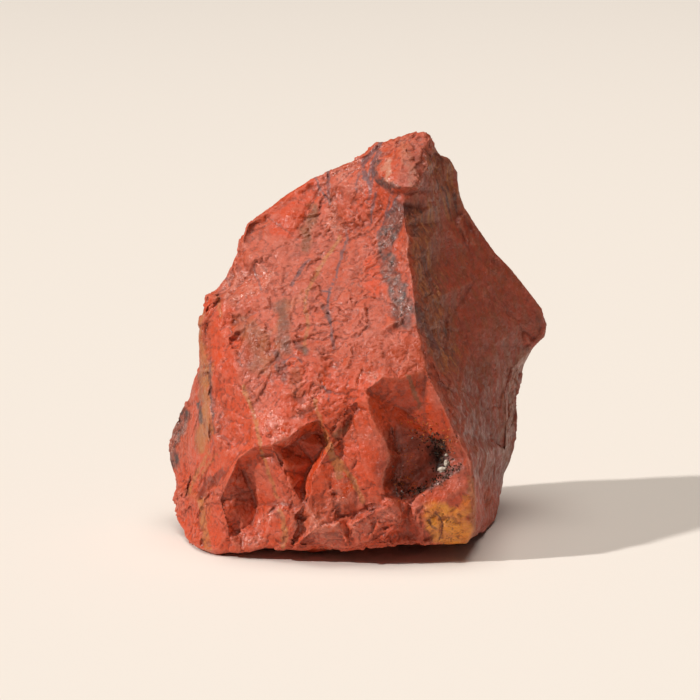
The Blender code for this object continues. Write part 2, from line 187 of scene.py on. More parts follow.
@dataclass(frozen=True)
class PhotoView:
    """The photograph's camera: where it stands and how it maps the stone to pixels.

    Its pixels are counted from the top left corner of the picture.

    Attributes:
        pixel: how much of the stone a pixel covers, in metres.
        side: how many pixels wide and high the picture is.
        distance: how far the camera stands from what it looks at, in metres.
        tilt: how far down it looks.
        target: the place that the picture's middle shows.
        middle_depth: how far back the stone's middle is, which depths are counted from.
    """

    pixel: float = 0.177 * MM
    side: int = 700
    distance: float = 600 * MM
    tilt: float = math.radians(12)
    target: tuple[float, float, float] = (-1.25 * MM, 5.63 * MM, 31.35 * MM)
    middle_depth: float = 5.63 * MM

    @property
    def ahead(self) -> Vector:
        """The direction that the camera looks in."""
        return Vector((0.0, math.cos(self.tilt), -math.sin(self.tilt)))

    @property
    def up(self) -> Vector:
        """The picture's upward direction."""
        return Vector((0.0, math.sin(self.tilt), math.cos(self.tilt)))

    @property
    def eye(self) -> Vector:
        """Where the camera stands."""
        return Vector(self.target) - self.ahead * self.distance

    def pixels(self, places: np.ndarray) -> np.ndarray:
        """The column and row at which places are seen.

        Args:
            places: points in metres, one a row.

        Returns:
            One column and row for each place.
        """
        offset = places - np.array(self.eye)
        scale = self.distance / (offset @ np.array(self.ahead) * self.pixel)
        middle = self.side / 2
        return np.stack([middle + offset[:, 0] * scale, middle - offset @ np.array(self.up) * scale], axis=1)

    def ray(self, column: float, row: float) -> Vector:
        """The direction in which a pixel looks.

        Args:
            column: the pixel's column.
            row: the pixel's row.

        Returns:
            The direction, one unit long where it runs straight ahead.
        """
        middle = self.side / 2
        across = (column - middle) * self.pixel / self.distance
        rise = (middle - row) * self.pixel / self.distance
        return self.ahead + Vector((across, 0.0, 0.0)) + self.up * rise

    def at(self, column: float, row: float, depth_mm: float) -> Vector:
        """The point that is seen at a pixel, at a depth behind the stone's middle."""
        ray = self.ray(column, row)
        return self.eye + ray * ((depth_mm * MM + self.middle_depth - self.eye.y) / ray.y)

    def place(self, tree: BVHTree, column: float, row: float) -> tuple[Vector, Vector] | None:
        """The point of a surface that is seen at a pixel.

        Args:
            tree: the surface.
            column: the pixel's column.
            row: the pixel's row.

        Returns:
            The point and the surface's normal there, or None where the pixel misses the surface.
        """
        hit, normal, _, _ = tree.ray_cast(self.eye, self.ray(column, row))
        return (hit, normal) if hit else None

    def add_camera(self) -> None:
        """Create the camera and make it the scene's."""
        data = bpy.data.cameras.new("photo_view")
        data.lens = data.sensor_width * self.distance / (self.side * self.pixel)
        data.clip_start = 10 * MM
        camera = add_object("photo_view", data)
        camera.location = self.eye
        camera.rotation_euler = self.ahead.to_track_quat("-Z", "Y").to_euler()
        bpy.context.scene.camera = camera


@dataclass(frozen=True)
class Stroke:
    """A line drawn over the photograph, with how far a place is from it.

    Attributes:
        path: its corners in pixels.
        width: its width in pixels.
        strength: 0 to 1 for a colour, and millimetres for a height.
    """

    path: tuple[Pixel, ...]
    width: float = 2.0
    strength: float = 1.0

    def measure(self, pixels: np.ndarray) -> tuple[np.ndarray, np.ndarray]:
        """How far places are from the line.

        Args:
            pixels: a column and row for each place.

        Returns:
            The distance in pixels, above 0 to the right of the line's direction in the picture, and the
            share of the line's length at the nearest point.
        """
        corners = np.array(self.path, dtype=float)
        lengths = np.linalg.norm(np.diff(corners, axis=0), axis=1)
        starts = np.concatenate([[0.0], np.cumsum(lengths)])
        nearest = np.full(len(pixels), np.inf)
        side = np.ones(len(pixels))
        share = np.zeros(len(pixels))
        for index, length in enumerate(lengths):
            along = (corners[index + 1] - corners[index]) / length
            offset = pixels - corners[index]
            run = np.clip(offset @ along, 0.0, length)
            gap = np.linalg.norm(offset - run[:, None] * along, axis=1)
            closer = gap < nearest
            cross = along[0] * offset[:, 1] - along[1] * offset[:, 0]
            nearest = np.where(closer, gap, nearest)
            side = np.where(closer, np.where(cross >= 0.0, 1.0, -1.0), side)
            share = np.where(closer, (starts[index] + run) / starts[-1], share)
        return nearest * side, share

    def cover(self, pixels: np.ndarray, outer: float, inner: float) -> np.ndarray:
        """How strongly the line covers places.

        Args:
            pixels: a column and row for each place.
            outer: how many pixels from the line it has faded out.
            inner: how many pixels from the line it starts to fade.

        Returns:
            0 up to the strength for each place.
        """
        return self.strength * smooth(outer, inner, np.abs(self.measure(pixels)[0]))


class Tint(Enum):
    """What shows as patches or veins, colours, gloss, painted shade and light, and the attribute that holds
    each.
    """

    OCHRE = "ochre"
    HEMATITE_AND_SHADE = "hematite"
    ORANGE = "orange"
    DRUSE = "druse"
    GOLD = "gold"
    BLUE = "blue"
    BROWN = "brown"
    CREAM_AND_PAINTED_LIGHT = "cream"
    DEEP_RED_AND_SHADE = "deep"
    PAINTED_SHADE = "painted_shade"
    GLOSS_AND_GLINT = "gloss"


# The stone's outline in the photograph, clockwise from its peak: column, row and depth in millimetres.
OUTLINE = (
    (424, 131, 4), (431, 133, 5), (435, 141, 7), (439, 153, 8), (449, 157, 9), (457, 170, 10),
    (460, 196, 10), (464, 206, 9.5), (476, 225, 9), (496, 254, 8.5), (508, 266, 8.5), (520, 280, 9),
    (542, 309, 9), (547, 325, 9.5), (545, 336, 10), (533, 348, 10.5), (524, 365, 10.5), (519, 393, 10),
    (517, 430, 9.5), (514, 449, 9), (509, 464, 8.5), (504, 474, 8), (502, 488, 6), (499, 505, 3),
    (494, 521, -1), (484, 532, -7), (475, 536, -14), (466, 544, -26), (440, 545, -28),
    (410, 546, -28.5), (372, 549, -29), (350, 551, -28.5), (330, 549, -28), (300, 550, -27.5),
    (270, 549, -26.5), (243, 553, -25.5), (213, 553, -23), (200, 552, -20), (190, 546, -16),
    (184, 535, -12), (176, 518, -7), (172, 500, -3), (176, 489, -2), (175, 477, -1), (170, 463, 1),
    (169, 448, 2.5), (172, 430, 3), (178, 417, 3), (187, 397, 1), (192, 383, -1), (199, 368, -5),
    (199, 350, -6), (198, 338, -6), (201, 315, -5.5), (203, 294, -5), (214, 290, -3.5), (224, 277, -2),
    (232, 264, -1), (237, 254, -0.5), (240, 238, 0), (247, 222, 2.5), (261, 213, 3.5), (290, 192, 5.5),
    (306, 182, 6), (325, 171, 6.5), (350, 160, 6.5), (363, 152, 6.5), (375, 142, 6), (386, 140, 5.5),
    (401, 135, 5), (414, 131, 4.5),
)

# The ridges and valleys between the main facets, from the same kind of points.
CREASES = {
    "arris": (
        (421, 190, -4.5), (404, 194, -5.4), (403, 204, -6), (405, 226, -9), (409, 241, -11),
        (407, 255, -12.5), (413, 281, -16), (416, 316, -20), (418, 332, -21.5), (421, 343, -22.5),
        (426, 370, -25), (440, 399, -27), (455, 433, -28.2), (468, 458, -28.8), (471, 480, -29),
        (473, 500, -29), (472, 530, -28), (466, 544, -26),
    ),
    "knob lip": (
        (376, 170, -0.6), (384, 180, -3.4), (396, 187, -6), (414, 187, -7), (421, 184, -6),
    ),
    "knob edge": (
        (421, 185, -5.5), (424, 172, -3.2), (428, 166, -1.8), (425, 148, 0.8), (431, 133, 5),
    ),
    "under knob": (
        (364, 172, 2.2), (374, 186, -1), (390, 193, -3.8), (404, 194, -5.4),
    ),
    "knob side": (
        (383, 150, 3.4), (376, 158, 1.6), (376, 170, -0.6),
    ),
    "strip edge": (
        (533, 348, 10.5), (512, 368, 3.5), (505, 395, 1.5), (506, 426, 1), (505, 449, 2), (504, 474, 8),
    ),
    "fold": (
        (460, 218, 8), (470, 253, 4.5), (475, 281, 2.5), (483, 296, 1.5), (492, 316, 1),
    ),
    "left shelf": (
        (172, 500, -3), (185, 496, -9), (198, 495, -14.5), (207, 501, -19.5), (219, 500, -23),
    ),
    "lip back": (
        (207, 501, -19.5), (220, 484, -21), (233, 463, -22.5), (240, 454, -23),
    ),
    "lip": (
        (219, 500, -23), (229, 478, -24.2), (238, 458, -24.2), (252, 448, -25.8), (272, 445, -27),
        (290, 437, -27.4), (302, 427, -27.2), (318, 421, -26.8),
    ),
    "first valley": (
        (238, 458, -24.2), (244, 470, -22.6), (250, 486, -21.8), (254, 500, -21.6), (257, 510, -21.8),
    ),
    "first rim": (
        (228, 535, -24.8), (240, 530, -23.4), (252, 524, -22.9), (263, 519, -24.6),
    ),
    "foot edge": (
        (219, 500, -23), (224, 515, -24), (228, 528, -24.8), (228, 535, -24.8),
    ),
    "second edge": (
        (272, 445, -27), (276, 456, -26.6), (282, 470, -27), (292, 486, -27.9), (304, 505, -28.6),
    ),
    "under lip": (
        (258, 456, -24.2), (271, 455, -25),
    ),
    "second root": (
        (257, 510, -21.8), (262, 507, -22.6), (270, 508, -24), (279, 503, -26), (290, 505, -27.2),
        (304, 505, -28.6),
    ),
    "dome": (
        (263, 519, -24.6), (272, 513, -26.4), (284, 509, -28.2), (295, 515, -28.8), (296, 530, -29),
        (290, 547, -27.8),
    ),
    "crack foot": (
        (304, 505, -28.6), (300, 517, -27.8), (297, 532, -27.4),
    ),
    "third roof": (
        (284, 448, -24.6), (296, 441, -23.6), (308, 433, -23.4), (320, 433, -23.6),
    ),
    "third wall": (
        (324, 446, -25), (314, 463, -24.2), (308, 475, -24.2), (307, 490, -24.8), (305, 502, -27.2),
    ),
    "third rim": (
        (329, 449, -28), (319, 465, -28), (312, 475, -28), (311, 490, -28.6), (306, 509, -29.2),
    ),
    "flag left": (
        (357, 408, -26), (346, 424, -26), (342, 440, -26.6), (342, 456, -27), (350, 473, -28),
        (357, 490, -29),
    ),
    "flag": (
        (366, 390, -27.4), (369, 410, -28.4), (376, 427, -29.2), (386, 442, -30), (391, 456, -30.4),
        (385, 472, -30.2), (383, 484, -30.2), (386, 496, -30.2),
    ),
    "slot": (
        (357, 408, -26.4), (344, 424, -26.9), (332, 438, -27.1),
    ),
    "plate edge": (
        (355, 402, -26.8), (342, 418, -27.4), (329, 434, -27.4),
    ),
    "brow step": (
        (366, 390, -27.4), (383, 377, -26.6), (400, 379, -26.2), (426, 370, -25),
    ),
    "pit lip": (
        (386, 496, -30.2), (400, 499, -29.2), (412, 502, -28.8), (432, 488, -28.2), (450, 477, -28.2),
        (464, 466, -28.6),
    ),
    "arch": (
        (412, 502, -28.8), (419, 512, -29.6), (422, 528, -29.8), (421, 545, -28.4),
    ),
    "shell": (
        (372, 508, -29.2), (377, 504, -30.2), (386, 500, -30.6), (396, 503, -30.8),
    ),
    "leaf": (
        (349, 541, -29.8), (354, 524, -31), (374, 511, -31.2), (393, 506, -31.2), (403, 513, -31),
        (400, 525, -31), (385, 537, -30.8), (372, 544, -30.2),
    ),
    "leaf foot": (
        (407, 517, -29), (403, 527, -29), (388, 539, -28.8),
    ),
    "leaf back": (
        (346, 524, -29.2), (356, 514, -29.2), (372, 508, -29.2),
    ),
}

# Single points that shape the facets between the creases.
SHAPERS = {
    "knob": (
        (390, 156, 0.6), (405, 150, -0.4), (400, 170, -3.6), (414, 165, -3),
    ),
    "shaded shoulder": (
        (437, 168, 4.5), (436, 190, 1.5), (445, 180, 7), (452, 205, 6.5), (430, 208, -2.8),
        (441, 222, 0.6),
    ),
    "shaded face": (
        (425, 250, -8), (440, 260, -2), (432, 300, -12), (455, 310, -4), (445, 350, -12),
        (470, 345, -5), (500, 300, 4.5), (520, 325, 6), (495, 345, 0), (460, 390, -15), (480, 400, -7),
        (478, 440, -14), (492, 440, -4), (490, 480, -6), (482, 500, -16), (488, 512, -9),
    ),
    "upper face": (
        (300, 240, -2.5), (350, 230, -2), (340, 280, -10), (270, 280, -8), (262, 310, -12.2),
        (380, 260, -9), (385, 220, -4), (320, 318, -15.6), (380, 300, -14.8), (290, 215, 0.5),
        (345, 185, 1.8), (230, 300, -9), (250, 255, -3.5), (400, 240, -9),
    ),
    "left strip": (
        (218, 330, -10), (232, 345, -15), (215, 370, -14), (240, 385, -19), (252, 420, -22.5),
    ),
    "left side": (
        (206, 400, -13), (199, 412, -10), (190, 440, -7), (215, 430, -18), (205, 460, -15),
        (190, 475, -8), (225, 455, -21),
    ),
    "chest": (
        (262, 340, -16), (300, 350, -20), (285, 390, -23), (268, 425, -25), (330, 350, -20.6),
        (330, 385, -24), (370, 335, -20.6), (385, 358, -23.6), (345, 395, -25.6), (400, 345, -22.6),
        (308, 408, -25.4),
    ),
    "plate": (
        (318, 412, -26.2), (333, 408, -26.4),
    ),
    "foot": (
        (195, 520, -16), (208, 530, -21),
    ),
    "lower middle": (
        (325, 480, -28.6), (335, 505, -29.8), (318, 525, -30.6), (340, 530, -30.9), (262, 540, -26.6),
        (306, 543, -30.2), (326, 543, -31.2), (346, 545, -31.2), (322, 505, -29.2),
    ),
    "flag face": (
        (360, 450, -28.6), (368, 480, -29.6), (368, 505, -29.8),
    ),
    "hollow": (
        (380, 396, -26), (392, 425, -26.4), (407, 412, -24.4), (424, 402, -24.8),
    ),
    "pit": (
        (400, 455, -25.8), (394, 480, -26.2), (405, 490, -26.4), (420, 470, -24.6), (440, 452, -23.2),
        (428, 434, -24.4), (446, 432, -26.2), (455, 458, -26.2),
    ),
    "lower right": (
        (445, 500, -29.4), (462, 512, -29.4), (440, 525, -29.8),
    ),
    "lower flakes": (
        (372, 527, -30.6), (408, 533, -28),
    ),
}

# Steps in the broken surface: the side to the right of each line stands out by its strength in
# millimetres, and falls back to the surface over its width.
LEDGES = (
    Stroke(((320, 196), (312, 204), (307, 212), (305, 224), (300, 233)), 16, -0.5),
    Stroke(((304, 233), (293, 240), (281, 245)), 12, 0.35),
    Stroke(((276, 248), (266, 259), (256, 262), (246, 274), (227, 297)), 14, 0.45),
    Stroke(((270, 297), (269, 305), (265, 308), (252, 311), (246, 312), (241, 314)), 12, 0.4),
    Stroke(((358, 197), (337, 204)), 9, 0.35),
    Stroke(((357, 214), (360, 222), (352, 228)), 9, 0.35),
    Stroke(((326, 208), (327, 224), (321, 235)), 9, -0.35),
    Stroke(((380, 247), (375, 256), (363, 268), (362, 278)), 10, -0.5),
    Stroke(((284, 363), (293, 355), (302, 363)), 9, 0.35),
    Stroke(((286, 262), (284, 272), (281, 285), (282, 296)), 12, 0.3),
    Stroke(((268, 313), (266, 325), (266, 335), (269, 344)), 12, 0.35),
    Stroke(((291, 311), (291, 321), (296, 330), (297, 341), (303, 346)), 8, 0.3),
    Stroke(((336, 351), (324, 351), (314, 356), (303, 357)), 10, 0.3),
    Stroke(((307, 375), (298, 372), (285, 372), (268, 375), (256, 380)), 10, 0.3),
    Stroke(((290, 378), (296, 388), (293, 398), (294, 412), (290, 424), (287, 434)), 13, 0.5),
    Stroke(((284, 409), (277, 401), (270, 391), (257, 380)), 8, 0.3),
    Stroke(((265, 404), (256, 397), (251, 388), (252, 380)), 8, 0.25),
    Stroke(((318, 401), (309, 408), (300, 413), (296, 419)), 9, 0.4),
    Stroke(((343, 391), (347, 397), (343, 402), (329, 410), (320, 419)), 9, 0.35),
    Stroke(((358, 404), (352, 412), (341, 424), (330, 436)), 10, -0.5),
    Stroke(((243, 431), (241, 440), (238, 450), (231, 456)), 9, -0.35),
    Stroke(((339, 237), (332, 244), (322, 249), (312, 253)), 8, -0.3),
    Stroke(((320, 254), (316, 261), (306, 263), (298, 264)), 8, 0.3),
    Stroke(((278, 350), (288, 356), (294, 362), (300, 371)), 8, -0.25),
    Stroke(((331, 318), (334, 332), (333, 345), (338, 353)), 9, 0.3),
    Stroke(((351, 345), (352, 356), (348, 366), (341, 372)), 9, 0.3),
    Stroke(((320, 290), (313, 296), (316, 305), (322, 311)), 8, -0.25),
    Stroke(((374, 300), (366, 311), (367, 325), (361, 336)), 11, 0.35),
    Stroke(((388, 330), (380, 341), (383, 356), (377, 367)), 11, 0.35),
    Stroke(((345, 285), (352, 297), (350, 310), (356, 321)), 9, 0.25),
    Stroke(((404, 300), (400, 315), (404, 331), (399, 346)), 9, 0.3),
    Stroke(((327, 447), (334, 449), (341, 442), (346, 437)), 8, -0.4),
    Stroke(((361, 455), (355, 462), (351, 471)), 9, 0.35),
    Stroke(((333, 478), (331, 491), (344, 494), (355, 493)), 10, -0.35),
    Stroke(((355, 494), (355, 506), (350, 520), (346, 536)), 11, 0.45),
    Stroke(((318, 500), (313, 511), (316, 521)), 8, 0.25),
    Stroke(((373, 504), (381, 500), (392, 502)), 7, 0.4),
    Stroke(((410, 500), (417, 508), (420, 520), (421, 536)), 11, 0.45),
    Stroke(((402, 518), (388, 529), (376, 540)), 11, -0.45),
    Stroke(((228, 534), (238, 536), (247, 534), (259, 536)), 9, 0.3),
    Stroke(((256, 508), (263, 505), (272, 506)), 8, 0.4),
    Stroke(((290, 504), (296, 512), (295, 522), (288, 530)), 9, 0.35),
    Stroke(((200, 497), (202, 515), (205, 530)), 8, 0.25),
    Stroke(((272, 268), (263, 276), (250, 283), (238, 291)), 9, -0.25),
    Stroke(((352, 166), (345, 176), (338, 180)), 8, 0.3),
    Stroke(((374, 196), (364, 200), (358, 207)), 7, 0.3),
    Stroke(((404, 215), (397, 228), (401, 242)), 9, 0.3),
)

# Thin cracks, cut in by their strength in millimetres.
CRACKS = (
    Stroke(((293, 513), (302, 519), (309, 515)), 2.2, 0.5),
    Stroke(((297, 536), (289, 548)), 2.0, 0.45),
    Stroke(((385, 514), (376, 520), (369, 537)), 2.4, 0.5),
    Stroke(((208, 366), (210, 389), (213, 406)), 2.0, 0.3),
    Stroke(((236, 461), (246, 478), (253, 498), (256, 508)), 2.0, 0.3),
    Stroke(((275, 448), (280, 462), (287, 482), (297, 500), (303, 507)), 2.0, 0.25),
    Stroke(((224, 419), (232, 420), (240, 424)), 1.8, 0.2),
    Stroke(((340, 506), (335, 522)), 2.2, 0.5),
    Stroke(((389, 424), (394, 436), (400, 453), (403, 465)), 2.0, 0.3),
    Stroke(((228, 500), (240, 494), (252, 490), (262, 484)), 1.8, 0.15),
    Stroke(((230, 479), (238, 488), (247, 494)), 1.8, 0.15),
    Stroke(((262, 214), (267, 208), (270, 201)), 2.4, 0.35),
    Stroke(((246, 274), (238, 284), (227, 297)), 2.0, 0.4),
)

# Veins of colour, by tint.
VEINS = {
    Tint.OCHRE: (
        Stroke(((340, 238), (334, 247), (326, 258), (320, 268), (315, 276), (311, 284), (307, 292), (305, 302),
                (306, 312), (308, 322), (306, 335), (304, 352)), 3.6, 1.0),
        Stroke(((217, 296), (219, 305), (221, 318)), 3, 0.8),
        Stroke(((315, 400), (317, 411), (321, 424), (326, 436), (330, 446)), 4, 1.0),
        Stroke(((329, 446), (333, 458), (338, 468), (339, 476)), 8, 0.9),
        Stroke(((337, 458), (346, 468), (352, 479), (358, 491), (363, 502)), 5, 0.9),
        Stroke(((201, 501), (202, 515), (205, 529), (208, 549)), 7, 0.9),
        Stroke(((243, 387), (247, 397), (251, 406), (254, 413), (256, 424), (258, 436), (260, 445)), 4.6, 0.9),
        Stroke(((261, 449), (265, 463), (269, 475), (273, 485), (278, 498)), 3.6, 0.8),
        Stroke(((280, 511), (284, 523), (285, 535), (283, 546)), 5, 0.8),
        Stroke(((470, 478), (473, 500), (473, 532)), 7, 0.7),
        Stroke(((206, 458), (196, 474), (188, 492)), 4, 0.8),
        Stroke(((216, 455), (206, 468), (199, 480)), 3, 0.6),
    ),
    Tint.BLUE: (
        Stroke(((313, 174), (321, 189), (330, 204)), 2.4, 0.9),
        Stroke(((329, 169), (328, 182), (329, 202)), 3.2, 0.9),
        Stroke(((346, 229), (347, 240), (342, 255), (338, 268), (334, 280), (329, 289)), 2.6, 1.0),
        Stroke(((322, 290), (330, 292), (327, 305), (330, 320), (332, 335), (334, 348)), 3.2, 0.9),
        Stroke(((309, 261), (303, 267), (297, 276), (292, 285)), 3.6, 0.9),
        Stroke(((254, 267), (257, 276), (261, 291)), 2.2, 0.8),
        Stroke(((224, 271), (230, 286)), 2.6, 0.8),
        Stroke(((381, 144), (371, 154), (363, 163), (365, 177)), 4.6, 1.0),
        Stroke(((379, 152), (373, 163), (368, 176), (370, 192)), 3.4, 1.0),
        Stroke(((362, 160), (358, 178), (356, 193)), 2, 0.7),
        Stroke(((374, 166), (372, 185), (368, 200)), 2.6, 0.8),
        Stroke(((375, 193), (372, 207), (371, 224)), 2.8, 0.8),
        Stroke(((392, 192), (388, 205), (385, 217)), 2.4, 0.8),
        Stroke(((399, 193), (391, 208), (384, 222), (378, 232)), 2.4, 0.8),
        Stroke(((284, 363), (293, 355), (302, 363)), 2.4, 0.7),
        Stroke(((322, 386), (328, 392), (331, 392), (329, 401)), 2.6, 0.8),
        Stroke(((211, 355), (210, 380), (213, 404)), 2.4, 0.6),
        Stroke(((206, 425), (214, 440), (210, 452)), 2.4, 0.5),
        Stroke(((417, 318), (440, 352), (462, 338)), 2.6, 0.7),
    ),
    Tint.HEMATITE_AND_SHADE: (
        Stroke(((436, 512), (442, 524), (440, 540)), 2.0, 0.8),
        Stroke(((428, 519), (437, 530)), 2.0, 0.7),
        Stroke(((454, 512), (446, 524)), 1.6, 0.6),
        Stroke(((209, 374), (211, 395), (214, 432)), 3.0, 0.7),
        Stroke(((199, 404), (201, 421)), 4.0, 0.9),
    ),
    Tint.BROWN: (
        Stroke(((408, 375), (412, 386), (417, 396), (421, 409)), 4, 1.0),
    ),
}

# Where the stone broke smoothly: broad strokes over the facets.
CALM = (
    Stroke(((226, 302), (212, 350), (203, 400), (196, 452)), 20, 0.85),
    Stroke(((238, 468), (250, 500)), 46, 0.8),
    Stroke(((296, 440), (312, 470)), 44, 0.75),
    Stroke(((366, 410), (372, 440), (380, 470)), 30, 0.85),
    Stroke(((340, 470), (352, 500)), 26, 0.7),
    Stroke(((462, 210), (490, 300), (525, 330)), 80, 0.9),
    Stroke(((476, 280), (482, 420), (490, 520)), 56, 0.75),
    Stroke(((420, 420), (440, 480)), 60, 0.85),
    Stroke(((276, 232), (296, 205), (306, 184)), 26, 0.9),
    Stroke(((340, 240), (336, 290)), 30, 0.5),
    Stroke(((396, 160), (404, 180)), 30, 0.6),
    Stroke(((262, 290), (250, 306)), 24, 0.5),
    Stroke(((283, 310), (285, 350)), 18, 0.7),
    Stroke(((386, 380), (390, 420)), 30, 0.6),
    Stroke(((200, 512), (212, 545)), 30, 0.6),
    Stroke(((395, 250), (405, 300)), 24, 0.4),
)

# Patches of colour, by tint: broad strokes whose width is that of the patch.
PATCHES = {
    # The pit's dark red; the other strokes are painted shade on faces turned from the light.
    Tint.DEEP_RED_AND_SHADE: (
        Stroke(((392, 470), (410, 480), (432, 470)), 38, 1.0),
        Stroke(((398, 440), (430, 452)), 34, 0.8),
        Stroke(((243, 480), (240, 515)), 26, 0.5),
        Stroke(((218, 474), (210, 484), (203, 494)), 11, 1.0),
        Stroke(((400, 524), (412, 532)), 22, 0.5),
        Stroke(((474, 372), (484, 440)), 34, 0.55),
    ),
    # Painted shade: a duller, darker red over the whole shaded side.
    Tint.PAINTED_SHADE: (
        Stroke(((450, 190), (470, 300), (500, 440)), 110, 0.9),
        Stroke(((520, 260), (530, 340)), 70, 0.7),
    ),
    Tint.HEMATITE_AND_SHADE: (
        Stroke(
            ((400, 209), (391, 222), (386, 236), (386, 252), (390, 268), (393, 284), (399, 300), (404, 320)),
            19, 1.0,
        ),
        Stroke(((181, 412), (175, 430), (171, 448), (175, 462)), 17, 1.0),
        # Painted shade: the dark nook under the knob's lip.
        Stroke(((379, 164), (375, 175), (383, 183), (396, 188)), 8, 1.0),
        Stroke(((322, 307), (331, 318)), 9, 0.7),
        Stroke(((276, 352), (283, 376)), 12, 0.6),
        Stroke(((283, 308), (284, 330), (288, 350)), 15, 0.45),
        Stroke(((298, 345), (306, 350)), 9, 0.6),
        Stroke(((415, 305), (424, 326), (434, 345)), 9, 0.8),
        Stroke(((410, 215), (416, 250), (421, 280)), 4, 0.7),
        Stroke(((452, 220), (449, 262), (444, 300)), 3, 0.6),
    ),
    Tint.BROWN: (
        Stroke(((313, 206), (309, 228), (305, 250)), 13, 0.8),
        Stroke(((240, 322), (262, 345), (262, 368)), 26, 0.6),
        Stroke(((283, 306), (284, 351)), 18, 0.6),
        Stroke(((334, 206), (340, 226)), 14, 0.35),
        Stroke(((420, 215), (428, 290), (444, 360)), 30, 0.85),
        Stroke(((440, 160), (452, 208)), 26, 0.8),
        Stroke(((296, 372), (296, 390)), 18, 0.45),
        Stroke(((346, 428), (336, 438)), 9, 0.8),
        Stroke(((204, 372), (204, 410), (200, 446)), 13, 0.8),
        Stroke(((202, 305), (199, 345), (202, 372)), 8, 0.5),
    ),
    Tint.OCHRE: (
        Stroke(((208, 372), (206, 410), (203, 446)), 15, 0.75),
        Stroke(((202, 310), (200, 345), (203, 372)), 9, 0.6),
        Stroke(((190, 495), (205, 500), (207, 545)), 10, 0.4),
        Stroke(((446, 165), (455, 205)), 12, 0.4),
        Stroke(((488, 462), (486, 515)), 10, 0.35),
        Stroke(((419, 225), (427, 285), (437, 330)), 8, 0.5),
        Stroke(((430, 205), (442, 255)), 7, 0.4),
        Stroke(((300, 292), (262, 345), (262, 372)), 9, 0.35),
    ),
    Tint.ORANGE: (
        Stroke(((283, 228), (298, 206), (306, 184)), 24, 1.0),
        Stroke(((226, 318), (226, 383), (242, 424)), 28, 1.0),
        Stroke(((210, 306), (212, 312)), 14, 0.8),
        Stroke(((232, 520), (300, 540), (400, 540)), 60, 0.7),
        Stroke(((240, 450), (330, 400), (400, 400)), 60, 0.7),
        Stroke(((200, 480), (230, 440)), 50, 0.6),
        Stroke(((300, 470), (370, 470)), 60, 0.9),
        Stroke(((225, 540), (190, 520)), 40, 0.8),
        Stroke(((404, 404), (436, 424)), 40, 1.0),
        Stroke(((372, 262), (374, 290)), 18, 0.8),
    ),
    Tint.DRUSE: (
        Stroke(((437, 446), (441, 462)), 19, 0.9),
        Stroke(((458, 467), (436, 485), (420, 493)), 9, 0.6),
        Stroke(((393, 493), (404, 497)), 9, 0.7),
    ),
    Tint.GOLD: (
        Stroke(((438, 518), (456, 534)), 34, 1.0),
        Stroke(((445, 508), (462, 516)), 12, 0.8),
        Stroke(((466, 500), (468, 535)), 9, 0.6),
    ),
    Tint.CREAM_AND_PAINTED_LIGHT: (
        Stroke(((530, 352), (515, 370), (509, 392), (508, 425), (507, 462)), 9, 1.0),
        Stroke(((391, 160), (389, 170), (388, 180)), 5, 0.8),
        Stroke(((402, 146), (412, 176)), 14, 0.45),
        # Painted light: the lower middle's facets, paler where they face the sun.
        Stroke(((306, 522), (334, 530)), 26, 0.35),
        Stroke(((472, 484), (471, 500)), 4, 0.6),
    ),
    # Where the stone is glossier, and where its painted highlights lie.
    Tint.GLOSS_AND_GLINT: (
        Stroke(((238, 288), (262, 276)), 26, 1.0),
        Stroke(((352, 162), (344, 174)), 16, 1.0),
        Stroke(((333, 206), (332, 226), (345, 230)), 12, 1.0),
        Stroke(((268, 420), (284, 434)), 24, 1.0),
        Stroke(((308, 524), (330, 536)), 34, 1.0),
        Stroke(((340, 480), (342, 500)), 18, 0.9),
        Stroke(((356, 530), (392, 516)), 20, 0.8),
        Stroke(((362, 380), (376, 378)), 10, 1.0),
        Stroke(((177, 425), (173, 446)), 16, 1.0),
        Stroke(((398, 214), (386, 240), (392, 284), (402, 318)), 16, 0.5),
        Stroke(((388, 158), (389, 180)), 8, 1.0),
        Stroke(((262, 520), (280, 508)), 14, 0.8),
        Stroke(((236, 538), (262, 540)), 12, 0.9),
        Stroke(((322, 380), (300, 415)), 16, 0.6),
    ),
}


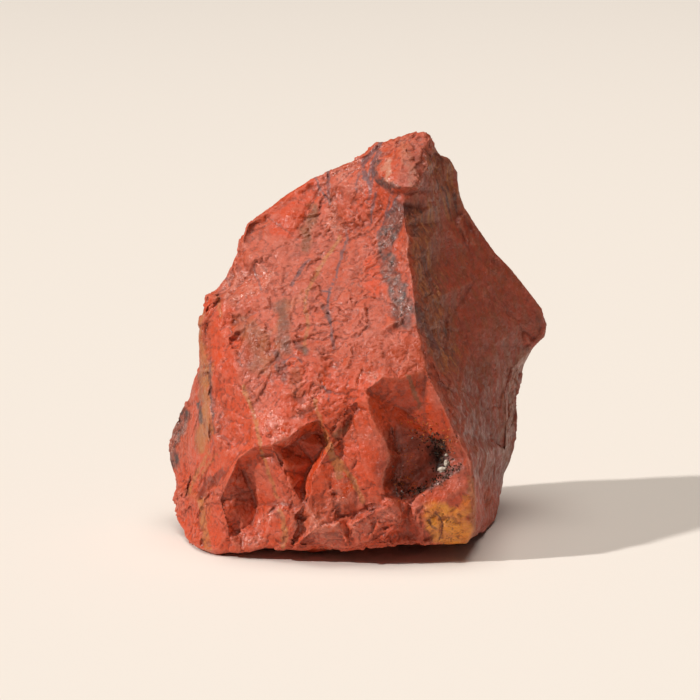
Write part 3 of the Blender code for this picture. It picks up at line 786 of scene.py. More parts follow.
@dataclass
class FrontForm:
    """The main facets of the side that the photograph shows, as one sheet creased along its ridges.

    Attributes:
        view: the photograph's camera.
        reach: how far a vertex is moved along its line of sight at most, in metres.
        side_reach: how far a vertex is moved sideways at most, in pixels.
        band: how far inside the outline a sideways move has faded out and is whole, in pixels.
        margin: how far inside the outline a vertex starts to follow the sheet and follows it fully.
        middle: the pixel that the rim is measured from.
        rays: how many directions it is measured in.
        tree: the sheet.
    """

    view: PhotoView
    reach: float = 1.6 * MM
    side_reach: float = 8.0
    band: tuple[float, float] = (34.0, 3.0)
    margin: tuple[float, float] = (2.0, 8.0)
    middle: Pixel = (350.0, 360.0)
    rays: int = 720
    tree: BVHTree = field(init=False)

    def __post_init__(self) -> None:
        """Stretch the sheet over the points."""
        lines = [OUTLINE, *CREASES.values()]
        corners = [corner for line in lines for corner in line]
        corners += [corner for spots in SHAPERS.values() for corner in spots]
        edges = [(len(OUTLINE) - 1, 0)]
        start = 0
        for line in lines:
            edges += [(start + step, start + step + 1) for step in range(len(line) - 1)]
            start += len(line)
        flat = [Vector(corner[:2]) for corner in corners]
        _, _, faces, origins, _, _ = delaunay_2d_cdt(flat, edges, [], 1, 0.01)
        places = [self.view.at(*corner) for corner in corners]
        self.tree = BVHTree.FromPolygons(places, [[origins[corner][0] for corner in face] for face in faces])

    def farthest(self, offset: np.ndarray) -> tuple[np.ndarray, np.ndarray]:
        """How far points reach out from the middle in each direction.

        Args:
            offset: each point's columns and rows from the middle.

        Returns:
            The farthest distance in pixels for each direction, and the number of each point's direction.
        """
        shares = (np.arctan2(offset[:, 1], offset[:, 0]) / math.tau) % 1.0
        turns = (shares * self.rays).astype(int) % self.rays
        reaches = np.zeros(self.rays)
        np.maximum.at(reaches, turns, np.linalg.norm(offset, axis=1))
        return reaches, turns

    def widen(self, places: np.ndarray, pixels: np.ndarray) -> np.ndarray:
        """Move the stone's rim sideways in the picture onto the photographed outline.

        Args:
            places: the vertices in metres.
            pixels: where each vertex is seen.

        Returns:
            The new places.
        """
        middle = np.array(self.middle)
        corners = np.array([corner[:2] for corner in (*OUTLINE, OUTLINE[0])], dtype=float)
        # Close enough together that each direction meets some of them.
        steps = np.linspace(0.0, 1.0, 60, endpoint=False)[:, None, None]
        drawn = (corners[:-1] * (1.0 - steps) + corners[1:] * steps).reshape(-1, 2) - middle
        offset = pixels - middle
        wanted, _ = self.farthest(drawn)
        built, turns = self.farthest(offset)
        shift = np.clip(wanted - built, -self.side_reach, self.side_reach)
        shift = (np.roll(shift, 1) + shift * 2.0 + np.roll(shift, -1)) / 4.0
        run = np.linalg.norm(offset, axis=1)
        push = shift[turns] * smooth(*self.band, built[turns] - run) / run
        # The foot stays on the floor.
        clear = smooth(0.0, 3.0, places[:, 2] / MM)
        across = offset[:, 0] * push * self.view.pixel
        rise = -offset[:, 1] * push * self.view.pixel * clear
        return places + across[:, None] * np.array((1.0, 0.0, 0.0)) + rise[:, None] * np.array(self.view.up)

    def fit(self, places: np.ndarray, pixels: np.ndarray, facing: np.ndarray) -> np.ndarray:
        """Move the vertices that are seen along their line of sight onto the sheet.

        Args:
            places: the vertices in metres.
            pixels: where each vertex is seen.
            facing: how much each vertex faces the camera, 0 to 1.

        Returns:
            The new places.
        """
        rim = Stroke(tuple(corner[:2] for corner in (*OUTLINE, OUTLINE[0])))
        inside = smooth(*self.margin, rim.measure(pixels)[0])
        eye = self.view.eye
        moved = places.copy()
        for index in np.nonzero(facing * inside > 0.01)[0]:
            ray = (Vector(places[index]) - eye).normalized()
            hit, normal, _, _ = self.tree.ray_cast(eye, ray)
            if hit:
                step = (hit - Vector(places[index])).dot(ray)
                # A vertex that is far off stays, and so does one where the sheet is seen edge on.
                near = smooth(self.reach, self.reach * 0.6, np.abs(step))
                level = smooth(0.15, 0.4, np.abs(normal.dot(ray)))
                moved[index] += np.array(ray) * step * near * level * facing[index] * inside[index]
        return moved


@dataclass
class SurfaceCopy:
    """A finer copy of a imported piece, as arrays that can be worked on.

    Attributes:
        node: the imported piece.
        name: the copy's name.
        spacing: the size of its faces in metres.
        thing: the copy itself.
    """

    node: bpy.types.Object
    name: str
    spacing: float
    thing: bpy.types.Object = field(init=False)

    def __post_init__(self) -> None:
        """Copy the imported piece, merge its corners and remesh it evenly."""
        mesh = self.node.data.copy()
        mesh.name = self.name
        mesh.materials.clear()
        work = bmesh.new()
        work.from_mesh(mesh)
        bmesh.ops.remove_doubles(work, verts=work.verts, dist=0.002 * MM)
        work.to_mesh(mesh)
        work.free()
        self.thing = add_object(self.name, mesh)
        even = self.thing.modifiers.new("even", "REMESH")
        even.mode = "VOXEL"
        even.voxel_size = self.spacing
        self.thing.modifiers.new("triangles", "TRIANGULATE")
        self.apply()

    def apply(self) -> None:
        """Make the modifiers' result the mesh."""
        graph = bpy.context.evaluated_depsgraph_get()
        graph.update()
        mesh = bpy.data.meshes.new_from_object(self.thing.evaluated_get(graph))
        self.thing.modifiers.clear()
        old = self.thing.data
        self.thing.data = mesh
        bpy.data.meshes.remove(old)
        mesh.name = self.name

    def read(self) -> tuple[np.ndarray, np.ndarray]:
        """Read the vertices.

        Returns:
            Their places in metres and their normals, one a row.
        """
        mesh = self.thing.data
        places = np.empty(len(mesh.vertices) * 3)
        normals = np.empty(len(mesh.vertices) * 3)
        mesh.vertices.foreach_get("co", places)
        mesh.vertex_normals.foreach_get("vector", normals)
        return places.reshape(-1, 3), normals.reshape(-1, 3)

    def write(self, places: np.ndarray) -> None:
        """Move the vertices to new places."""
        self.thing.data.vertices.foreach_set("co", places.ravel())
        self.thing.data.update()

    def soften(self, rounds: int) -> None:
        """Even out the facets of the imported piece.

        Args:
            rounds: how many times each vertex moves towards its neighbours.
        """
        work = bmesh.new()
        work.from_mesh(self.thing.data)
        for _ in range(rounds):
            bmesh.ops.smooth_vert(
                work, verts=work.verts, factor=0.5, use_axis_x=True, use_axis_y=True, use_axis_z=True
            )
        work.to_mesh(self.thing.data)
        work.free()

    def thin(self, faces: int, spare: np.ndarray) -> None:
        """Simplify the mesh: to a fifth on the hidden side, and then where it is flattest.

        Args:
            faces: how many triangles to leave.
            spare: for each vertex, whether it is on the hidden side.
        """
        group = self.thing.vertex_groups.new(name="hidden")
        group.add(np.nonzero(spare)[0].tolist(), 1.0, "REPLACE")
        first = self.thing.modifiers.new("hidden side", "DECIMATE")
        first.ratio = 1.0 - 0.8 * float(spare.mean())
        first.vertex_group = group.name
        self.apply()
        rest = self.thing.modifiers.new("all round", "DECIMATE")
        rest.ratio = min(faces / len(self.thing.data.polygons), 1.0)
        self.apply()
        self.thing.vertex_groups.clear()

    def curvature(self, rounds: int = 3) -> np.ndarray:
        """How far each vertex stands out from those around it.

        Args:
            rounds: how many vertices away it is compared with.

        Returns:
            Tenths of a millimetre for each vertex, below 0 in a hollow.
        """
        mesh = self.thing.data
        places, normals = self.read()
        pairs = np.empty(len(mesh.edges) * 2, dtype=np.int64)
        mesh.edges.foreach_get("vertices", pairs)
        pairs = pairs.reshape(-1, 2)
        count = np.bincount(pairs.ravel(), minlength=len(places))[:, None]
        around = places
        for _ in range(rounds):
            total = np.zeros_like(places)
            np.add.at(total, pairs[:, 0], around[pairs[:, 1]])
            np.add.at(total, pairs[:, 1], around[pairs[:, 0]])
            around = 0.5 * around + 0.5 * total / count
        return ((places - around) * normals).sum(axis=1) / (0.1 * MM)

    def store(self, name: str, values: np.ndarray) -> None:
        """Keep a value for each vertex as an attribute of the mesh."""
        layer = self.thing.data.attributes.new(name, "FLOAT", "POINT")
        layer.data.foreach_set("value", values.astype(np.float32))


class Finish:
    """A material under construction: its node tree and the few kinds of pattern that the finishes share."""

    def __init__(self, name: str) -> None:
        """Start a material with a plain Principled surface.

        Args:
            name: the material's name.
        """
        self.material = bpy.data.materials.new(name)
        self.material.use_nodes = True
        self.tree = self.material.node_tree
        self.surface = self.tree.nodes["Principled BSDF"]
        self.place = add_node(self.tree, "ShaderNodeTexCoord").outputs["Object"]

    def grain(
        self,
        size_mm: float,
        detail: float = 4.0,
        rough: float = 0.55,
        warp: float = 0.0,
        stretch: tuple[float, float, float] = (1.0, 1.0, 1.0),
    ) -> bpy.types.NodeSocket:
        """A pattern of soft lumps.

        Args:
            size_mm: how wide a lump is, in millimetres.
            detail: how many finer patterns are added to it.
            rough: how strong each finer pattern is beside the last, 0 to 1.
            warp: how much it is bent.
            stretch: how much longer a lump is along X, Y and Z.

        Returns:
            Its value, 0 to 1, and near 0.5 for the most part.
        """
        shrink = tuple(1.0 / length for length in stretch)
        place = add_node(self.tree, "ShaderNodeMapping", links={"Vector": self.place, "Scale": shrink})
        sizes = {
            "Vector": place.outputs[0],
            "Scale": 1.0 / (size_mm * MM),
            "Detail": detail,
            "Roughness": rough,
            "Distortion": warp,
        }
        return add_node(self.tree, "ShaderNodeTexNoise", links=sizes).outputs["Fac"]

    def facets(self, size_mm: float, tilt: float) -> bpy.types.NodeSocket:
        """The surface's normal, turned another way for each small facet of the break.

        Args:
            size_mm: how wide a facet is, in millimetres.
            tilt: how far the facets are turned.

        Returns:
            The normal.
        """
        own = add_node(self.tree, "ShaderNodeNewGeometry").outputs["Normal"]
        turned = self.vector("MULTIPLY_ADD", self.cells(size_mm, "Color"), (tilt,) * 3, (-0.5 * tilt,) * 3)
        return self.vector("NORMALIZE", self.vector("ADD", own, turned))

    def vector(self, operation: str, *parts: object) -> bpy.types.NodeSocket:
        """Work out a direction from others."""
        links = dict(enumerate(parts))
        return add_node(self.tree, "ShaderNodeVectorMath", {"operation": operation}, links).outputs[0]

    def cells(self, size_mm: float, output: str = "Distance") -> bpy.types.NodeSocket:
        """A pattern of cells about a size in millimetres across."""
        sizes = {"Vector": self.place, "Scale": 1.0 / (size_mm * MM)}
        return add_node(self.tree, "ShaderNodeTexVoronoi", links=sizes).outputs[output]

    def lay(self, share: object, under: object, over: str) -> bpy.types.NodeSocket:
        """Lay an sRGB colour over another colour.

        Args:
            share: how much of the upper colour shows, 0 to 1.
            under: the lower colour.
            over: the upper colour's hex value.

        Returns:
            The mixed colour.
        """
        links = {0: share, 6: under, 7: linear(over)}
        return add_node(self.tree, "ShaderNodeMix", {"data_type": "RGBA"}, links).outputs[2]

    def ramp(
        self, value: object, low: float, high: float, to_low: float = 0.0, to_high: float = 1.0
    ) -> bpy.types.NodeSocket:
        """Ease a value from one range into another.

        Args:
            value: the value.
            low: where its range starts.
            high: where its range ends.
            to_low: where the new range starts.
            to_high: where the new range ends.

        Returns:
            The eased value.
        """
        settings = {"interpolation_type": "SMOOTHSTEP"}
        ranges = {0: value, 1: low, 2: high, 3: to_low, 4: to_high}
        return add_node(self.tree, "ShaderNodeMapRange", settings, ranges).outputs[0]

    def math(self, operation: str, first: object, second: object) -> bpy.types.NodeSocket:
        """Work out a value from two."""
        return add_node(self.tree, "ShaderNodeMath", {"operation": operation}, {0: first, 1: second}).outputs[0]

    def stored(self, name: str) -> bpy.types.NodeSocket:
        """Read a value that the mesh keeps."""
        return add_node(self.tree, "ShaderNodeAttribute", {"attribute_name": name}).outputs["Fac"]

    def relief(
        self, height: object, depth_mm: float, strength: float, under: object = None
    ) -> bpy.types.NodeSocket:
        """Turn the surface's normal by a height.

        Args:
            height: the height, 0 to 1.
            depth_mm: how deep it is, in millimetres.
            strength: how much of it shows, 0 to 1.
            under: the normal to start from, if it isn't the surface's own.

        Returns:
            The normal.
        """
        links = {"Strength": strength, "Distance": depth_mm * MM, "Height": height}
        if under is not None:
            links["Normal"] = under
        return add_node(self.tree, "ShaderNodeBump", links=links).outputs[0]

    def wire(self, socket: object, name: str) -> None:
        """Feed an input of the surface."""
        self.tree.links.new(socket, self.surface.inputs[name])


@dataclass(frozen=True)
class BrokenJasper:
    """Red jasper: a dense, opaque quartz rock, broken and left rough.

    It breaks in shallow shell-shaped chips, dull on the whole with a waxy gleam on the smoothest ones.
    Iron oxides colour it: brick red on the whole, with ochre and grey hematite in its veins.

    Attributes:
        brick: the rock's own red.
        pink: the red where it is paler.
        maroon: the red where it is darker.
        orange: its warmer patches.
        ochre: the yellow-brown iron oxide of its veins.
        hematite: the grey iron oxide of its patches, laid also as painted shade in the nook under the knob.
        blue: the same in thin veins, where it looks bluish.
        brown: weathered patches and streaks.
        gold: the yellow patch at the foot.
        cream: the pale rim of the far side, and painted light on the sunlit facets of the lower middle.
        druse: the ground under the crystals.
        deep: the dark red of the pit, laid also as painted shade on faces turned from the light.
        painted_shade: a duller, darker red laid over the shaded side, painted shade.
        speck: the small dark specks, painted shade of pin holes.
        edge: bruised edges and grains.
        hollow: the darker red of the hollows, painted shade.
        gleam: pale flecks and sheen on the glossy parts, painted highlights.
    """

    brick: str = "#BC4A27"
    pink: str = "#C45D45"
    maroon: str = "#903C27"
    orange: str = "#CC4416"
    ochre: str = "#B8703E"
    hematite: str = "#483431"
    blue: str = "#664A4F"
    brown: str = "#80502F"
    gold: str = "#F29E36"
    cream: str = "#C09A80"
    druse: str = "#2C1A15"
    deep: str = "#72240C"
    painted_shade: str = "#874236"
    speck: str = "#3A1C18"
    edge: str = "#CC8068"
    hollow: str = "#7A3422"
    gleam: str = "#DE9684"

    def ground(self, finish: Finish) -> bpy.types.NodeSocket:
        """Mix the rock's own red, in clouds, mottles and fine grains.

        Args:
            finish: the material under construction.

        Returns:
            The colour.
        """
        clouds = finish.ramp(finish.grain(11.0, 5.0, 0.62, 0.5), 0.4, 0.6)
        color = finish.lay(clouds, linear(self.brick), self.pink)
        fine = finish.grain(0.6, 4.0, 0.7)
        layers = (
            (finish.grain(17.0, 4.0, 0.6, 0.3), 0.5, 0.62, 0.6, self.orange),
            (finish.grain(2.6, 6.0, 0.68, 0.6), 0.48, 0.7, 0.6, self.maroon),
            (fine, 0.5, 0.75, 0.4, self.maroon),
            (fine, 0.46, 0.3, 0.22, self.edge),
        )
        for grain, low, high, most, shade in layers:
            color = finish.lay(finish.ramp(grain, low, high, 0.0, most), color, shade)
        return color

    def tint(self, finish: Finish, color: bpy.types.NodeSocket) -> bpy.types.NodeSocket:
        """Lay the patches and veins over the rock, with ragged rims.

        Those that the photograph shows are stored on the mesh, and the hidden side has veins of its own.

        Args:
            finish: the material under construction.
            color: the rock's own colour.

        Returns:
            The colour.
        """
        broken = finish.ramp(finish.grain(1.9, 5.0, 0.7, 0.4), 0.36, 0.6, 0.55, 1.0)
        # Some tints lay painted shade and light: the shaded side, a few shaded faces, the nook under the knob
        # and sunlit facets.
        tints = (
            (Tint.ORANGE, self.orange, 0.95),
            (Tint.BROWN, self.brown, 0.8),
            (Tint.CREAM_AND_PAINTED_LIGHT, self.cream, 0.7),
            (Tint.OCHRE, self.ochre, 0.95),
            (Tint.GOLD, self.gold, 0.9),
            (Tint.HEMATITE_AND_SHADE, self.hematite, 1.0),
            (Tint.BLUE, self.blue, 0.9),
            (Tint.DEEP_RED_AND_SHADE, self.deep, 0.9),
            (Tint.PAINTED_SHADE, self.painted_shade, 0.7),
            (Tint.DRUSE, self.druse, 1.0),
        )
        for tint, shade, most in tints:
            share = finish.ramp(finish.stored(tint.value), 0.1, 0.85, 0.0, most)
            color = finish.lay(finish.math("MULTIPLY", share, broken), color, shade)
        hidden = finish.stored(HIDDEN)
        for size, warp, shade in ((15.0, 0.6, self.ochre), (19.0, 0.9, self.hematite), (24.0, 0.5, self.cream)):
            offset = finish.math("SUBTRACT", finish.grain(size, 3.0, 0.5, warp), 0.5)
            across = finish.math("ABSOLUTE", offset, 0.0)
            vein = finish.math("MULTIPLY", finish.ramp(across, 0.012, 0.004, 0.0, 0.8), hidden)
            color = finish.lay(finish.math("MULTIPLY", vein, broken), color, shade)
        return color

    def band(self, finish: Finish, color: bpy.types.NodeSocket) -> bpy.types.NodeSocket:
        """Draw the upright streaks of the shaded side.

        Args:
            finish: the material under construction.
            color: the rock's tinted colour.

        Returns:
            The colour.
        """
        # The painted shade over the shaded side also marks where the streaks lie.
        painted_shade = finish.stored(Tint.PAINTED_SHADE.value)
        streaks = finish.ramp(finish.grain(1.1, 4.0, 0.6, 0.1, (1.0, 1.0, 12.0)), 0.44, 0.6)
        shaded = finish.ramp(painted_shade, 0.3, 0.9, 0.0, 0.4)
        color = finish.lay(finish.math("MULTIPLY", streaks, shaded), color, self.brown)
        banded = finish.math("MULTIPLY", finish.stored(Tint.BROWN.value), painted_shade)
        for size, low, shade in ((1.5, 0.52, self.ochre), (1.2, 0.54, self.hematite)):
            lines = finish.ramp(finish.grain(size, 4.0, 0.65, 0.1, (1.0, 1.0, 9.0)), low, low + 0.06)
            color = finish.lay(finish.math("MULTIPLY", lines, banded), color, shade)
        return color

    def mark(self, finish: Finish, color: bpy.types.NodeSocket) -> bpy.types.NodeSocket:
        """Add painted shade in pin holes and hollows, painted highlights where it is glossy, and bruised edges.

        Args:
            finish: the material under construction.
            color: the rock's tinted colour.

        Returns:
            The colour.
        """
        # Painted shade: small dark specks that stand for pin holes.
        specks = finish.ramp(finish.cells(1.5), 0.07, 0.03)
        chosen = finish.ramp(finish.cells(1.5, "Color"), 0.55, 0.6)
        color = finish.lay(finish.math("MULTIPLY", specks, chosen), color, self.speck)
        # Painted highlights: a pale sheen and small pale flecks where the stone is glossy.
        gloss = finish.ramp(finish.stored(Tint.GLOSS_AND_GLINT.value), 0.1, 0.8)
        for size, low, most in ((1.8, 0.4, 0.22), (0.5, 0.54, 0.5)):
            flecks = finish.ramp(finish.grain(size, 3.0, 0.6, 0.8), low, low + 0.12, 0.0, most)
            color = finish.lay(finish.math("MULTIPLY", flecks, gloss), color, self.gleam)
        curve = finish.stored(CURVE)
        color = finish.lay(finish.ramp(curve, 0.05, 0.6, 0.0, 0.2), color, self.edge)
        # Painted shade: hollows darker, by how far each vertex sinks below those around it.
        return finish.lay(finish.ramp(curve, -0.04, -0.5, 0.0, 0.55), color, self.hollow)

    def build(self) -> bpy.types.Material:
        """Make the material.

        Returns:
            The material.
        """
        finish = Finish("broken_jasper")
        color = self.band(finish, self.tint(finish, self.ground(finish)))
        finish.wire(self.mark(finish, color), "Base Color")
        finish.surface.inputs["IOR"].default_value = QUARTZ_IOR
        finish.surface.inputs["Specular IOR Level"].default_value = 0.46
        waxy = finish.ramp(finish.grain(1.4, 5.0, 0.7, 0.5), 0.4, 0.6, 0.34, 0.6)
        gloss = finish.ramp(finish.stored(Tint.GLOSS_AND_GLINT.value), 0.1, 0.8, 0.0, 0.2)
        finish.wire(finish.math("SUBTRACT", waxy, gloss), "Roughness")
        grit = finish.relief(finish.grain(0.9, 3.0, 0.6, 0.9), 0.32, 0.85, finish.facets(0.9, 0.34))
        finish.wire(grit, "Normal")
        return finish.material


@dataclass(frozen=True)
class SmokyDruse:
    """Druse: a skin of tiny quartz crystals, stained by iron, that glint one by one.

    They grew in the open pit, so their faces are clean and glassy.

    Attributes:
        dark: the colour of the darker crystals.
        pale: the colour of the paler ones.
    """

    dark: str = "#33201A"
    pale: str = "#8C6A58"

    def build(self, name: str) -> bpy.types.Material:
        """Make the material.

        Args:
            name: the material's name.

        Returns:
            The material.
        """
        finish = Finish(name)
        tone = finish.ramp(finish.grain(0.9, 2.0), 0.45, 0.7)
        finish.wire(finish.lay(tone, linear(self.dark), self.pale), "Base Color")
        finish.surface.inputs["IOR"].default_value = QUARTZ_IOR
        finish.surface.inputs["Roughness"].default_value = 0.16
        return finish.material


@dataclass(frozen=True)
class PaleQuartz:
    """White quartz: milky grains, each with a rough broken skin that scatters the light.

    Attributes:
        white: the grains' colour.
        grey: the colour of their duller spots.
    """

    white: str = "#DDD5C8"
    grey: str = "#B8A898"

    def build(self) -> bpy.types.Material:
        """Make the material.

        Returns:
            The material.
        """
        finish = Finish("pale_quartz")
        tone = finish.ramp(finish.grain(0.4, 3.0), 0.4, 0.6)
        finish.wire(finish.lay(tone, linear(self.white), self.grey), "Base Color")
        finish.surface.inputs["Roughness"].default_value = 0.4
        return finish.material


@dataclass(frozen=True)
class Chips:
    """A coat of shell-shaped scars of one size: where two meet, the deeper one cuts the other to a ridge.

    Attributes:
        size: how wide a scar is, in millimetres.
        depth: how deep its bowl is, in millimetres.
        slope: how steeply it tilts.
    """

    size: float
    depth: float
    slope: float

    def height(self, spot: Vector) -> float:
        """How far the surface stands out.

        Args:
            spot: the place in millimetres.

        Returns:
            The height in millimetres.
        """
        scaled = (spot + noise.noise_vector(spot / (self.size * 1.3)) * self.size * 0.35) / self.size
        gaps, middles = noise.voronoi(scaled)
        lowest = math.inf
        for gap, middle in zip(gaps, middles):
            tilt = noise.noise_vector(middle * 3.7 + Vector((11.0, 5.0, 3.0)))
            depth = 0.6 + noise.noise(middle * 5.3 + Vector((1.0, 17.0, 7.0)))
            bowl = self.depth * (gap * gap * 1.6 - depth) + (scaled - middle).dot(tilt) * self.size * self.slope
            lowest = min(lowest, bowl)
        return lowest + 0.35 * self.depth


@dataclass(frozen=True)
class Shingles:
    """Flakes that lie one over the other like tiles: each rises slowly and ends in a ragged scarp.

    Attributes:
        along: the direction in which they rise.
        period: how far apart the scarps are, in millimetres.
        step: how high a scarp is, in millimetres.
        size: how wide the bends in a scarp are, in millimetres.
    """

    along: tuple[float, float, float]
    period: float
    step: float
    size: float

    def height(self, spot: Vector) -> float:
        """How far the surface stands out.

        Args:
            spot: the place in millimetres.

        Returns:
            The height in millimetres.
        """
        run = spot.dot(Vector(self.along)) / self.period + 1.5 * noise.fractal(spot / self.size, 0.85, 2.3, 4)
        share = run % 1.0
        rise = min(share, (1.0 - share) * 14.0)
        patch = min(max(noise.noise(spot / (1.6 * self.size) + Vector((5.0, 1.0, 2.0))) * 2.5 + 0.6, 0.0), 1.0)
        return self.step * patch * (rise - 0.5)


@dataclass
class JasperStone:
    """The stone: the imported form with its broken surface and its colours.

    Attributes:
        view: the photograph's camera, for what is placed by its pixels.
        spacing: the size of the finer copy's faces in metres, while it is being worked on.
        faces: how many triangles are left at the end.
        chips: the scars of the break, from large to small.
        flakes: the shingled flakes of the break, from large to small.
        ledge_wavers: how the ledges and cracks waver: sizes in millimetres and reaches in pixels.
        patch_wavers: how the rims of the patches of colour waver.
        vein_wavers: how the veins waver.
    """

    view: PhotoView
    spacing: float = 0.25 * MM
    faces: int = 195000
    chips: tuple[Chips, ...] = (Chips(6.5, 0.26, 0.4), Chips(2.2, 0.06, 0.35))
    flakes: tuple[Shingles, ...] = (
        Shingles((0.55, -0.2, -0.8), 6.5, 0.55, 9.0),
        Shingles((0.8, 0.3, -0.3), 4.0, 0.26, 6.0),
        Shingles((0.1, 0.4, -0.9), 2.1, 0.07, 3.0),
    )
    ledge_wavers: tuple[tuple[float, float], ...] = ((1.1, 2.2), (0.45, 1.6))
    patch_wavers: tuple[tuple[float, float], ...] = ((1.6, 5.0), (4.0, 5.0))
    vein_wavers: tuple[tuple[float, float], ...] = ((1.6, 2.0),)

    def relief(self, places: np.ndarray, calm: np.ndarray, facing: np.ndarray) -> np.ndarray:
        """How far the broken surface stands out all round.

        Args:
            places: the vertices in metres.
            calm: 0 where the break is rough and 1 where it is smooth.
            facing: how much each vertex faces the camera, 0 to 1.

        Returns:
            A height in millimetres for each vertex.
        """
        heights = np.zeros(len(places))
        for index, place in enumerate(places / MM):
            spot = Vector(place)
            # The flakes' scarps wander a little.
            bent = spot + noise.noise_vector(spot / 3.0) * 0.5
            rough = 1.0 - calm[index]
            # On the side that is photographed, the listed ledges stand for some of the chips.
            chipped = sum(chip.height(spot) for chip in self.chips) * (1.0 - 0.4 * facing[index])
            flaked = sum(flake.height(bent) for flake in self.flakes)
            heights[index] = rough * (chipped + flaked)
        return heights

    def quiet(self, places: np.ndarray, pixels: np.ndarray, facing: np.ndarray) -> np.ndarray:
        """Where the stone broke smoothly.

        Args:
            places: the vertices in metres.
            pixels: where each vertex is seen.
            facing: how much each vertex faces the camera, 0 to 1.

        Returns:
            How smooth it is at each vertex, 0 to 1.
        """
        drawn = np.zeros(len(pixels))
        for patch in CALM:
            drawn = np.maximum(drawn, patch.cover(pixels, patch.width * 0.65, patch.width * 0.4))
        # The hidden side is rough and smooth by turns.
        hidden = 0.35 + 0.5 * smooth(-0.2, 0.3, lumps(places, 13.0))
        return hidden * (1.0 - facing) + np.maximum(drawn, 0.3) * facing

    def photographed(self, places: np.ndarray, pixels: np.ndarray, facing: np.ndarray) -> np.ndarray:
        """How far the ledges and cracks that the photograph shows stand out.

        Args:
            places: the vertices in metres.
            pixels: where each vertex is seen.
            facing: how much each vertex faces the camera, 0 to 1.

        Returns:
            A height in millimetres for each vertex.
        """
        # The ledges come and go.
        whole = np.clip(0.75 + 1.5 * lumps(places, 2.6, (4.0, 9.0, 2.0)), 0.1, 1.5)
        pixels = shake(pixels, places, self.ledge_wavers)
        heights = np.zeros(len(pixels))
        for ledge in LEDGES:
            gap, share = ledge.measure(pixels)
            ends = np.sin(np.pi * np.clip(share, 0.03, 0.97)) ** 0.5
            fade = np.exp(-np.maximum(gap, 0.0) / ledge.width) * smooth(-0.9, 0.9, gap)
            heights += ledge.strength * ends * fade * whole
        for crack in CRACKS:
            gap, share = crack.measure(pixels)
            ends = np.sin(np.pi * np.clip(share, 0.05, 0.95)) ** 0.5
            heights -= crack.strength * ends * np.exp(-((gap / crack.width) ** 2))
        return heights * facing

    def seen(self, places: np.ndarray, normals: np.ndarray) -> tuple[np.ndarray, np.ndarray]:
        """How the camera sees the vertices.

        Args:
            places: the vertices in metres.
            normals: their normals.

        Returns:
            The pixel at which each vertex is seen, and how much it faces the camera, 0 to 1.
        """
        toward = np.array(self.view.eye) - places
        toward /= np.linalg.norm(toward, axis=1)[:, None]
        # The change is gradual at the rim, so that nothing ends there at a hard line.
        return self.view.pixels(places), smooth(-0.15, 0.1, (normals * toward).sum(axis=1))

    def paint(self, copy: SurfaceCopy, pixels: np.ndarray, facing: np.ndarray, places: np.ndarray) -> None:
        """Store the veins and patches of colour on the mesh.

        Args:
            copy: the finer copy of the stone.
            pixels: where each vertex is seen.
            facing: how much each vertex faces the camera, 0 to 1.
            places: the vertices in metres.
        """
        patch_pixels = shake(pixels, places, self.patch_wavers)
        vein_pixels = shake(pixels, places, self.vein_wavers)
        for tint in Tint:
            amount = np.zeros(len(pixels))
            for patch in PATCHES.get(tint, ()):
                amount = np.maximum(amount, patch.cover(patch_pixels, patch.width * 0.75, patch.width * 0.175))
            for vein in VEINS.get(tint, ()):
                half = vein.width / 2
                amount = np.maximum(amount, vein.cover(vein_pixels, half + 0.7, half - 0.7))
            copy.store(tint.value, amount * facing)

    def build(self, node: bpy.types.Object) -> bpy.types.Object:
        """Make the stone.

        Args:
            node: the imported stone.

        Returns:
            The finished piece.
        """
        copy = SurfaceCopy(node, "broken_stone", self.spacing)
        copy.soften(1)
        # The form: first its outline, and then the facets inside it.
        form = FrontForm(self.view)
        places, _ = copy.read()
        copy.write(form.widen(places, self.view.pixels(places)))
        places, normals = copy.read()
        pixels, facing = self.seen(places, normals)
        copy.write(form.fit(places, pixels, facing))
        # The broken surface.
        places, normals = copy.read()
        pixels = self.view.pixels(places)
        calm = self.quiet(places, pixels, facing)
        height = self.relief(places, calm, facing) + self.photographed(places, pixels, facing)
        # The foot stays on the floor.
        clear = smooth(0.0, 2.0, places[:, 2] / MM)
        copy.write(places + normals * (height * clear * MM)[:, None])
        copy.thin(self.faces, facing < 0.01)
        # The colours.
        places, normals = copy.read()
        pixels, facing = self.seen(places, normals)
        self.paint(copy, pixels, facing, places)
        copy.store(CURVE, copy.curvature())
        copy.store(HIDDEN, 1.0 - facing)
        copy.thing.data.materials.append(BrokenJasper().build())
        copy.thing.data.shade_smooth()
        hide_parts(node.name)
        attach(copy.thing, "root")
        LOG.info("%s: %d faces", copy.name, len(copy.thing.data.polygons))
        return copy.thing


class Skin(IntEnum):
    """The material slots of the crust."""

    SMOKY = 0
    WHITE = 1
    RUSTY = 2


